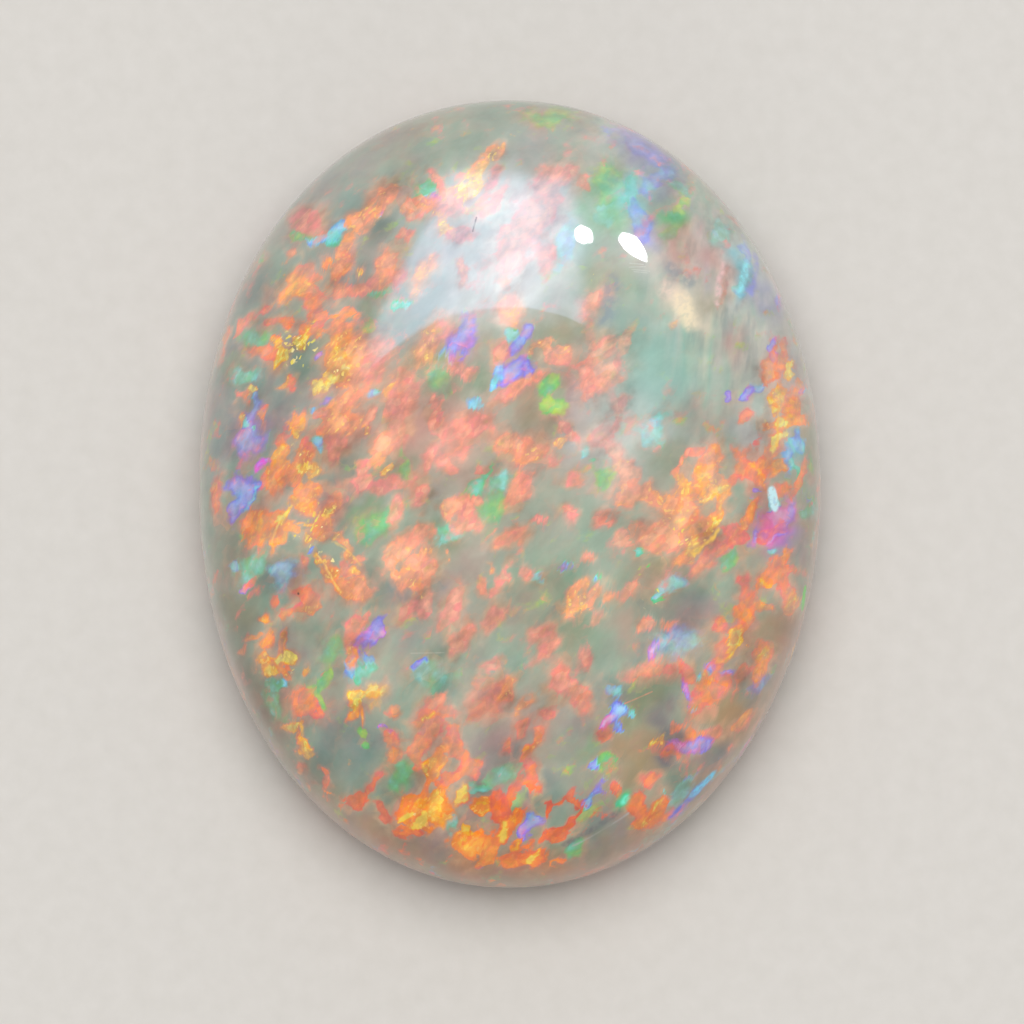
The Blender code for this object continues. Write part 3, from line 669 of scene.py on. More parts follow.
# %% Cool flashes
COOL_FLASHES = (   # across, up, half length, half width, turn, hue, depth
    (-3.55, 5.06, 0.18, 0.1, 20, 0.38, 0.05), (-3.65, 5.24, 0.3, 0.14, 25, 0.53),
    (-3.4, 5.45, 0.18, 0.1, -10, 0.62), (-4.2, 5.22, 0.22, 0.13, 0, 0.22, 0.35),
    (-4.05, 5.12, 0.09, 0.08, 0, 0.6, 0.1), (-5.03, 4.8, 0.18, 0.1, 75, 0.2, 0.15),
    (-2.68, 5.74, 0.08, 0.05, 20, 0.9, 0.15), (-2.7, 4.05, 0.22, 0.12, 20, 0.28, 0.3),
    (-1.72, 6.2, 0.22, 0.1, 8, 0.3, 0.25), (-1.6, 6, 0.13, 0.06, 0, 0.82, 0.15),
    (2.02, 6.2, 0.49, 0.26, 82, 0.12, 0.4), (1.92, 5.66, 0.23, 0.18, 60, 0.48, 0.4),
    (0.92, 7.72, 0.47, 0.16, 8, 0.12, 0.5), (1.15, 5.1, 0.39, 0.16, 85, 0.5, 0.5),
    (2.46, 6.12, 0.39, 0.14, 82, 0.38, 0.4), (2.56, 5.68, 0.36, 0.14, 105, 0.7, 0.4),
    (2.72, 5.28, 0.31, 0.14, 85, 0.84, 0.4), (2.66, 7.14, 0.65, 0.26, -32, 0.82, 0.75),
    (3, 6.4, 0.44, 0.16, 32, 0.7, 0.55), (3.34, 5.48, 0.39, 0.14, 60, 0.24, 0.4),
    (3.52, 5.84, 0.18, 0.09, 60, 0.02, 0.4), (3.45, 6.2, 0.2, 0.12, -30, 0.32, 0.55),
    (4.76, 4.48, 0.39, 0.12, 84, 0.5, 0.4), (4.8, 4.9, 0.23, 0.09, 100, 0.74, 0.4),
    (4.68, 4.22, 0.16, 0.09, 60, 0.48, 0.4), (5.48, 4.02, 0.26, 0.08, -70, 0.88, 0.4),
    (4.25, 5.25, 0.26, 0.16, 80, 0.45, 0.65), (-5.15, 3.2, 0.26, 0.16, 0, 0.25, 0.45),
    (-5.4, 2.4, 0.25, 0.16, 0, 0.4, 0.55), (-5.15, 1.94, 0.11, 0.06, 30, 0.66, 0.1),
    (-5.2, 1.68, 0.3, 0.12, 70, 0.8, 0.6), (-5.32, 1.1, 0.34, 0.24, 60, 0.87, 0.62),
    (-5.04, 0.6, 0.15, 0.08, 35, 0.98, 0.05), (-5.42, 0.12, 0.3, 0.22, -30, 0.83, 0.18),
    (-5.5, -0.22, 0.4, 0.14, 66, 0.85, 0.12), (-5.26, -0.1, 0.26, 0.06, 66, 0.64, 0.12),
    (-3.9, 1, 0.15, 0.11, 95, 0.6, 0.2), (-3.98, 1.7, 0.08, 0.07, 0, 0.55, 0.2),
    (-5.35, 1.38, 0.1, 0.07, 0, 0.45, 0.2), (-2.25, 3.86, 0.16, 0.1, 0, 0.47, 0.05),
    (-2.85, 2.05, 0.15, 0.11, 40, 0.62, 0.45), (-2.9, 3.42, 0.12, 0.08, 60, 0.05, 0.45),
    (-3.88, 2.8, 0.09, 0.06, 45, 0.9, 0.45), (-3.8, 1.88, 0.12, 0.08, 45, 0.86, 0.45),
    (-1, 3.12, 0.47, 0.21, 58, 0.85, 0.15), (-1.22, 2.85, 0.2, 0.1, 10, 0.68, 0.2),
    (0.2, 3.1, 0.35, 0.1, 60, 0.76, 0.1), (0.33, 3.38, 0.15, 0.06, 70, 0.86, 0.25),
    (-0.02, 2.5, 0.38, 0.16, 25, 0.86, 0.1), (0.36, 2.54, 0.2, 0.1, 20, 0.84, 0.05),
    (-0.24, 2.5, 0.18, 0.16, 60, 0.56, 0.05), (-0.36, 2.26, 0.15, 0.09, 60, 0.54, 0.1),
    (0, 3.25, 0.14, 0.11, 0, 0.5, 0.35), (0.8, 2.25, 0.23, 0.15, 45, 0.17, 0.08),
    (0.84, 1.8, 0.27, 0.17, 5, 0.04, 0.05), (-0.76, 1.8, 0.18, 0.12, 0, 0.66, 0.2),
    (-0.46, 0.42, 0.26, 0.06, 60, 0.24, 0.05), (-0.65, 0.14, 0.2, 0.11, 20, 0.28, 0.15),
    (-0.14, 0.28, 0.26, 0.14, 52, 0.46, 0.45), (1.5, 0.87, 0.11, 0.09, 0, 0.5, 0.4),
    (1.7, 0.66, 0.08, 0.06, 0, 0.26, 0.25), (1.95, 0.25, 0.22, 0.19, 0, 0.1, 0.35),
    (-2.15, 0.6, 0.3, 0.08, 92, 0.17, 0.55), (-1.45, 2.45, 0.36, 0.2, 70, 0.22, 0.65),
    (5.36, 2.95, 0.2, 0.07, 92, 0.96, 0.1), (4.5, 2, 0.13, 0.09, 95, 0.9, 0.08),
    (4.8, 2, 0.12, 0.08, 50, 0.84, 0.08), (5.02, 2.16, 0.12, 0.09, 40, 0.68, 0.5),
    (6, 2.25, 0.22, 0.08, 84, 0.9, 0.15), (2.95, 1.5, 0.26, 0.12, 35, 0.5, 0.22),
    (2.85, 1.18, 0.24, 0.18, 60, 0.46, 0.5), (5.76, 0.92, 0.34, 0.13, 72, 0.62, 0.1),
    (5.8, 0.52, 0.15, 0.06, 82, 0.35, 0.05), (6.18, 0.55, 0.25, 0.08, 84, 0.12, 0.45),
    (5.34, -0.08, 0.24, 0.12, 82, 0.52), (5, 0.03, 0.1, 0.07, 0, 0.94, 0.05),
    (5.52, -0.5, 0.4, 0.22, 50, 0.98, 0.4), (5.4, -0.9, 0.22, 0.09, 30, 0.88, 0.3),
    (4.95, -0.86, 0.16, 0.07, 72, 0.86, 0.4), (5.3, -1.15, 0.12, 0.07, 5, 0.36, 0.05),
    (6, -0.35, 0.12, 0.1, 0, 0.28, 0.45), (-4, -1.15, 0.14, 0.04, 25, 0.78, 0.15),
    (-5.36, -1.9, 0.09, 0.04, 50, 0.92, 0.05), (-5.6, -1.5, 0.12, 0.09, 0, 0.64, 0.5),
    (-5.28, -1.5, 0.34, 0.2, 30, 0.36, 0.5), (-4.6, -1.65, 0.26, 0.24, 60, 0.62, 0.65),
    (-2.75, -0.68, 0.36, 0.22, 45, 0.2, 0.4), (-2.82, -2.86, 0.32, 0.16, 42, 0.9, 0.15),
    (-2.6, -2.74, 0.14, 0.07, 35, 0.93), (-2.92, -3.3, 0.16, 0.1, 10, 0.62, 0.15),
    (-3.26, -3.55, 0.15, 0.1, 80, 0.64, 0.15), (-2.95, -3.56, 0.2, 0.14, 30, 0.4, 0.3),
    (-3.12, -3.73, 0.11, 0.07, 10, 0.32), (-3.7, -3.7, 0.18, 0.07, 80, 0.05, 0.05),
    (-3.85, -3.92, 0.2, 0.1, 30, 0.05, 0.35), (-4.6, -3.86, 0.12, 0.07, 0, 0.6, 0.1),
    (-4.8, -3.9, 0.2, 0.11, 0, 0.36, 0.45), (-3.62, -3.15, 0.3, 0.22, 60, 0.26, 0.6),
    (-1.86, -3.46, 0.17, 0.09, 38, 0.78), (-1.6, -3.72, 0.36, 0.26, 10, 0.36, 0.8),
    (1.15, -1.45, 0.13, 0.08, 0, 0.84, 0.5), (1.8, -1.66, 0.13, 0.07, 40, 0.26, 0.3),
    (1.68, -1.8, 0.11, 0.05, 45, 0.56, 0.3), (0.55, -1.65, 0.14, 0.11, 0, 0.5, 0.6),
    (-1.3, -0.85, 0.26, 0.15, 20, 0.4, 0.5), (-0.36, -0.3, 0.3, 0.22, 60, 0.2, 0.55),
    (2.53, -1.16, 0.13, 0.08, 5, 0.44), (3, -2.05, 0.08, 0.05, 30, 0.56),
    (3, -2.18, 0.1, 0.07, 0, 0.19), (3.3, -1.82, 0.26, 0.14, 15, 0.58, 0.55),
    (4.5, -1.35, 0.26, 0.11, 60, 0.22, 0.45), (2.66, -1.55, 0.1, 0.03, 72, 0.05),
    (2.87, -1.55, 0.05, 0.03, -50, 0.1), (2.9, -3.22, 0.24, 0.07, 78, 0.9, 0.1),
    (3.4, -3, 0.4, 0.28, 20, 0.6, 0.72), (4.1, -3.52, 0.14, 0.09, 0, 0.84, 0.35),
    (4.4, -3.66, 0.13, 0.07, 10, 0.8, 0.35), (3.86, -3.7, 0.07, 0.05, 30, 0.42, 0.05),
    (3.56, -4, 0.22, 0.08, 100, 0.94, 0.08), (2.15, -3.95, 0.16, 0.11, 60, 0.62, 0.45),
    (6.06, -2.08, 0.2, 0.07, 72, 0.13), (5.9, -2.27, 0.06, 0.04, 70, 0.03),
    (5.1, -3.85, 0.22, 0.12, 60, 0.78, 0.65), (-3.9, -4.15, 0.3, 0.09, -52, 0.06, 0.25),
    (-3.04, -4.88, 0.13, 0.07, -50, 0.1), (-2.93, -5.12, 0.09, 0.07, 0, 0.24, 0.1),
    (-2.6, -4.76, 0.11, 0.07, 20, 0.85, 0.15), (-4.8, -4.3, 0.3, 0.18, -60, 0.3, 0.6),
    (-2.2, -5.72, 0.3, 0.18, 60, 0.28, 0.45), (0.34, -6.8, 0.28, 0.1, 60, 0.87),
    (0.55, -6.7, 0.2, 0.09, 25, 0.84, 0.4), (1.36, -7.25, 0.2, 0.13, 40, 0.26, 0.12),
    (1.55, -6.3, 0.15, 0.07, 50, 0.8, 0.05), (1.8, -6, 0.2, 0.07, 60, 0.8, 0.2),
    (1.65, -5.5, 0.15, 0.06, 12, 0.74, 0.2), (1.98, -5.4, 0.18, 0.13, 0, 0.15, 0.05),
    (1.5, -6.52, 0.22, 0.11, 20, 0.06, 0.5), (-1.2, -6.62, 0.2, 0.11, 80, 0.38, 0.35),
    (-0.5, -5.92, 0.36, 0.11, 20, 0.36, 0.28), (-0.1, -5.72, 0.32, 0.18, 30, 0.32, 0.6),
    (-0.7, -7.6, 0.2, 0.06, -10, 0.88, 0.45), (0.12, -6.32, 0.2, 0.16, 60, 0.08, 0.6),
    (2.2, -4.35, 0.22, 0.11, -30, 0.8, 0.05), (2.04, -4.6, 0.25, 0.09, 42, 0.93),
    (2.2, -4.75, 0.11, 0.08, 0, 0.76), (2.48, -4.5, 0.1, 0.06, 80, 0.5),
    (3.77, -4.43, 0.1, 0.04, 12, 0.54), (3.65, -5.1, 0.42, 0.15, 4, 0.9, 0.22),
    (4, -5.15, 0.13, 0.07, 80, 0.84, 0.1), (4, -5.85, 0.26, 0.08, 58, 0.56),
    (3.74, -6.2, 0.24, 0.07, 46, 0.75), (3.4, -6.5, 0.22, 0.07, 38, 0.87, 0.05),
    (3.55, -5.92, 0.26, 0.05, 45, 0.66, 0.3), (3.5, -6.15, 0.42, 0.18, 45, 0.5, 0.65),
    (4.37, -5.33, 0.11, 0.05, 40, 0.7), (2.28, -6.28, 0.18, 0.11, 62, 0.38),
    (2.34, -6.12, 0.11, 0.06, 60, 0.2), (3.15, -6.1, 0.08, 0.06, 80, 0.54, 0.1),
)
print(len(COOL_FLASHES), "cool flashes")

# %% [markdown]
# ## From the list to the surface
# Each vertex of the skin asks every flash how far inside it lies. The answer goes into mesh
# attributes, which a material can read: how strongly a warm or a cool flash is present (0.5 at its
# edge), its colour, and its depth. The vertices are about 0.05 mm apart, so the attributes carry
# the flashes' places, and noise in the material later breaks their edges into ragged flakes.

# %% Lay the flashes on the skin
EDGE_FROM = 0.35                 # a flash fades between these shares of its half sizes
EDGE_TO = 1.75
GLOW_REACH = 2.6                 # the haze round a flash reaches this much further


def smooth_step(value, low, high):
    share = np.clip((value - low) / (high - low), 0, 1)
    return share * share * (3 - 2 * share)


def lay(flashes, across, up):
    """Presence, colour, depth and glow at every vertex, for one list of flashes."""
    presence, tone, depth, glow = (np.zeros(len(across)) for _ in range(4))
    for x, y, half_length, half_width, turn, flash_tone, *given_depth in flashes:
        cosine, sine = math.cos(math.radians(turn)), math.sin(math.radians(turn))
        along = ((across - x) * cosine + (up - y) * sine) / half_length
        beside = ((up - y) * cosine - (across - x) * sine) / half_width
        distance = np.hypot(along, beside)
        here = 1 - smooth_step(distance, EDGE_FROM, EDGE_TO)
        over = here > np.minimum(presence, 0.5)
        tone = np.where(over, flash_tone, tone)
        depth = np.where(over, given_depth[0] if given_depth else 0, depth)
        presence = np.maximum(presence, here)
        glow = np.maximum(glow, 1 - smooth_step(distance, 1, GLOW_REACH))
    return presence, tone, depth, glow


print("a flash fades from", EDGE_FROM, "to", EDGE_TO, "of its half sizes")

# %% [markdown]
# Ellipses look like ellipses even when they overlap. So every place is shaken a little by smooth
# noise before it asks, first widely and then finely, and the flashes come out torn.

# %% Torn flashes
LATTICE_CELLS = 256              # along each side of the noise's lattice
FLASH_TEAR = ((0.085, 0.22), (0.06, 0.11))   # (reach, spacing) of each shake, in mm


def soft_noise(size, seed):
    """Smooth random values, from -1 to 1, on a square lattice of the given spacing in mm."""
    lattice = np.random.default_rng(seed).uniform(-1, 1, (LATTICE_CELLS, LATTICE_CELLS))
    a, b = across / size + LATTICE_CELLS // 2, up / size + LATTICE_CELLS // 2
    column, row = np.floor(a).astype(int), np.floor(b).astype(int)
    s, t = smooth_step(a - column, 0, 1), smooth_step(b - row, 0, 1)
    near = lattice[row, column] * (1 - s) + lattice[row, column + 1] * s
    far = lattice[row + 1, column] * (1 - s) + lattice[row + 1, column + 1] * s
    return near * (1 - t) + far * t


def shaken(places, shakes, first_seed):
    """Places moved by one noise after another."""
    for step, (reach, size) in enumerate(shakes):
        places = places + reach * soft_noise(size, first_seed + step)
    return places


torn_across, torn_up = shaken(across, FLASH_TEAR, 1), shaken(up, FLASH_TEAR, 3)
fire, heat, fire_depth, fire_glow = lay(WARM_FLASHES, torn_across, torn_up)
cool, hue, cool_depth, cool_glow = lay(COOL_FLASHES, torn_across, torn_up)
warm_share, cool_share = (round(float((field > 0.5).mean()), 3) for field in (fire, cool))
print("warm", warm_share, "cool", cool_share, "of the skin")

# %% [markdown]
# On the steep sides and the back no flash is listed, and a flash laid from above would
# smear down the side. There the presence comes from a few soft waves through the stone instead,
# so that the fire goes on all round, and it sinks a little into the milk towards the edge.

# %% The sides and the back
STEEP_FACING = (0.10, 0.45)      # the skin counts as steep below these upward shares of its normal
BACK_FACING = (-0.75, -0.15)     # and as the back below these
normals = np.empty(len(skin_points) * 3, np.float32)
stone.data.vertices.foreach_get("normal", normals)
normals = normals.reshape(-1, 3)
steep = 1 - smooth_step(normals[:, 2], *STEEP_FACING)
back = 1 - smooth_step(normals[:, 2], *BACK_FACING)
waves = np.random.default_rng(7)
x_mm, y_mm, z_mm = skin_points.T / MM


def soft_waves(count, shortest, longest):
    """A few plane waves through the stone, added up to a smooth field around 0.5."""
    total = np.zeros(len(skin_points))
    for _ in range(count):
        way = waves.normal(size=3)
        way /= np.linalg.norm(way)
        length = waves.uniform(shortest, longest)
        travelled = (x_mm * way[0] + y_mm * way[1] + z_mm * way[2]) / length
        total += np.sin(2 * math.pi * (travelled + waves.uniform()))
    return 0.5 + total / (2 * math.sqrt(count))


def carried_on(laid, field):
    """What was laid from above, and the field on the steep sides and the back."""
    return laid * (1 - steep) + field * steep


side_fire = 0.52 * smooth_step(soft_waves(9, 1.2, 3.0), 0.35, 0.90)
side_cool = 0.50 * smooth_step(soft_waves(9, 1.2, 3.0), 0.45, 0.95)
fire = carried_on(fire, side_fire)
cool = carried_on(cool, side_cool)
heat = carried_on(heat, np.clip(soft_waves(7, 1.0, 2.5), 0, 1) * 0.8)
hue = carried_on(hue, np.clip(soft_waves(7, 1.5, 3.5), 0, 1))
fire_depth = np.clip(carried_on(fire_depth, 0.15) + 0.45 * back, 0, 1)
cool_depth = np.clip(carried_on(cool_depth, 0.25) + 0.45 * back, 0, 1)
glow = carried_on(np.maximum(fire_glow, 0.5 * cool_glow), side_fire)
print("steep", round(float((steep > 0.5).mean()), 3), "back", round(float((back > 0.5).mean()), 3))

# %% [markdown]
# The milk isn't equally clear everywhere. It is clearest along the near edge, where the fire shows
# deepest, and the very rim is quiet. At the upper right lie silky threads, and in a few spots the
# fire breaks up into glitter too fine for single flashes.

# %% Clear milk, silk and glitter
RIM = (0.94, 0.99)               # the quiet rim, as shares of the way from the middle to the outline
SILK_MIDDLE = (4.2, 3.9)         # across and up
SILK_REACH = (1.1, 1.9)
GLITTERS = (   # across, up, radius, strength
    (-4.4, 3, 0.5, 1), (-3.5, 2.45, 0.45, 0.75), (-4.3, 0.7, 0.5, 0.6), (-4.15, -0.55, 0.6, 0.8),
    (-3.5, -1.4, 0.45, 0.65), (3.55, -0.85, 0.55, 0.7), (1.85, 4.45, 0.45, 0.55),
    (2.9, -2.1, 0.35, 0.7), (5.3, 1.6, 0.5, 0.5), (-4.5, -3.5, 0.45, 0.5), (-2, -6.4, 0.4, 0.5),
)
rim_share = np.hypot(x_mm / (WIDTH / MM / 2), y_mm / (LENGTH / MM / 2))
quiet_rim = smooth_step(rim_share, *RIM)
fire = fire * (1 - 0.50 * quiet_rim)
cool = cool * (1 - 0.60 * quiet_rim)
far_end, near_end = smooth_step(up, 3.0, 6.0), smooth_step(-up, 3.5, 6.5)
clear = 0.80 * smooth_step(rim_share, 0.45, 0.80) * (1 - far_end)
clear = np.maximum(clear, near_end) * (1 - back)
silk_across, silk_up = ((places - middle) / reach for places, middle, reach
                        in zip((across, up), SILK_MIDDLE, SILK_REACH))
silk = np.exp(-silk_across ** 2 - silk_up ** 2) * (1 - steep)
glitter = np.zeros(len(across))
for x, y, radius, strength in GLITTERS:
    glitter += strength * np.exp(-((across - x) ** 2 + (up - y) ** 2) / radius ** 2)
glitter = np.clip(glitter, 0, 1) * (1 - steep)
print("clear", round(float((clear > 0.5).mean()), 3), "silky", round(float((silk > 0.5).mean()), 3))

# %% [markdown]
# Each field goes to the mesh as a named attribute, one number for every vertex, and the material
# reads it by that name.

# %% Hand the fields to the mesh
painted = {"glitter": glitter, "silk": silk, "haze": glow, "clear": clear, "underside": back,
           "warm": fire, "warm_tone": heat, "warm_depth": fire_depth,
           "cool": cool, "cool_tone": hue, "cool_depth": cool_depth}
for name, values in painted.items():
    made = stone.data.attributes.new(name, "FLOAT", "POINT")
    made.data.foreach_set("value", np.asarray(values, np.float32))
print(len(painted), "fields on the mesh")

# %% [markdown]
# The milk itself isn't one colour. It drifts from grey-green to teal and to a pinkish grey. Along
# the near edge a warm tan and brown are painted in as the reflection of a brown surround and as
# painted shade, and a darker band at the left rim is painted shade. Each tint is a soft round patch,
# laid in order.

# %% The milk's palette
def colour(red, green, blue):
    """A colour as it is read off a screen, 0 to 255, as the linear light that Blender mixes."""
    levels = [level / 255 for level in (red, green, blue)]
    return [level / 12.92 if level < 0.04045 else ((level + 0.055) / 1.055) ** 2.4 for level in levels]


def add_tints(name, tints, fourth):
    """A colour attribute with a fourth number beside the three of the colour."""
    made = stone.data.attributes.new(name, "FLOAT_COLOR", "POINT")
    made.data.foreach_set("color", np.column_stack([tints, fourth]).astype(np.float32).ravel())


GREY_GREEN = (152, 166, 148)
TEAL = (126, 164, 148)
DEEP_TEAL = (76, 120, 108)
MOSS = (104, 136, 96)
PALE_TEAL = (150, 192, 182)
OLIVE = (134, 128, 84)
SLATE = (92, 116, 126)
# blue grey is the milk's own tint, and at the left rim it is also painted shade
BLUE_GREY_AND_RIM_SHADE = (134, 150, 156)
INDIGO_GREY = (84, 80, 112)
MAUVE = (142, 118, 136)
PINK_GREY = (184, 154, 146)
DUSTY_ROSE = (208, 142, 128)
# the tan and the brown are painted reflection of a brown surround and painted shade along the near rim
REFLECTED_TAN = (172, 122, 64)
REFLECTED_BROWN = (158, 98, 48)
# painted shade at the lower left rim
RIM_SHADE_OLIVE = (104, 98, 72)
CREAM = (232, 216, 190)
PALE_LILAC = (222, 212, 214)
SOFT_VIOLET = (128, 128, 204)
SOFT_GREEN = (104, 184, 126)
SOFT_CYAN = (112, 196, 208)
print("most of the milk is", [round(level, 3) for level in colour(*GREY_GREEN)], "in linear light")

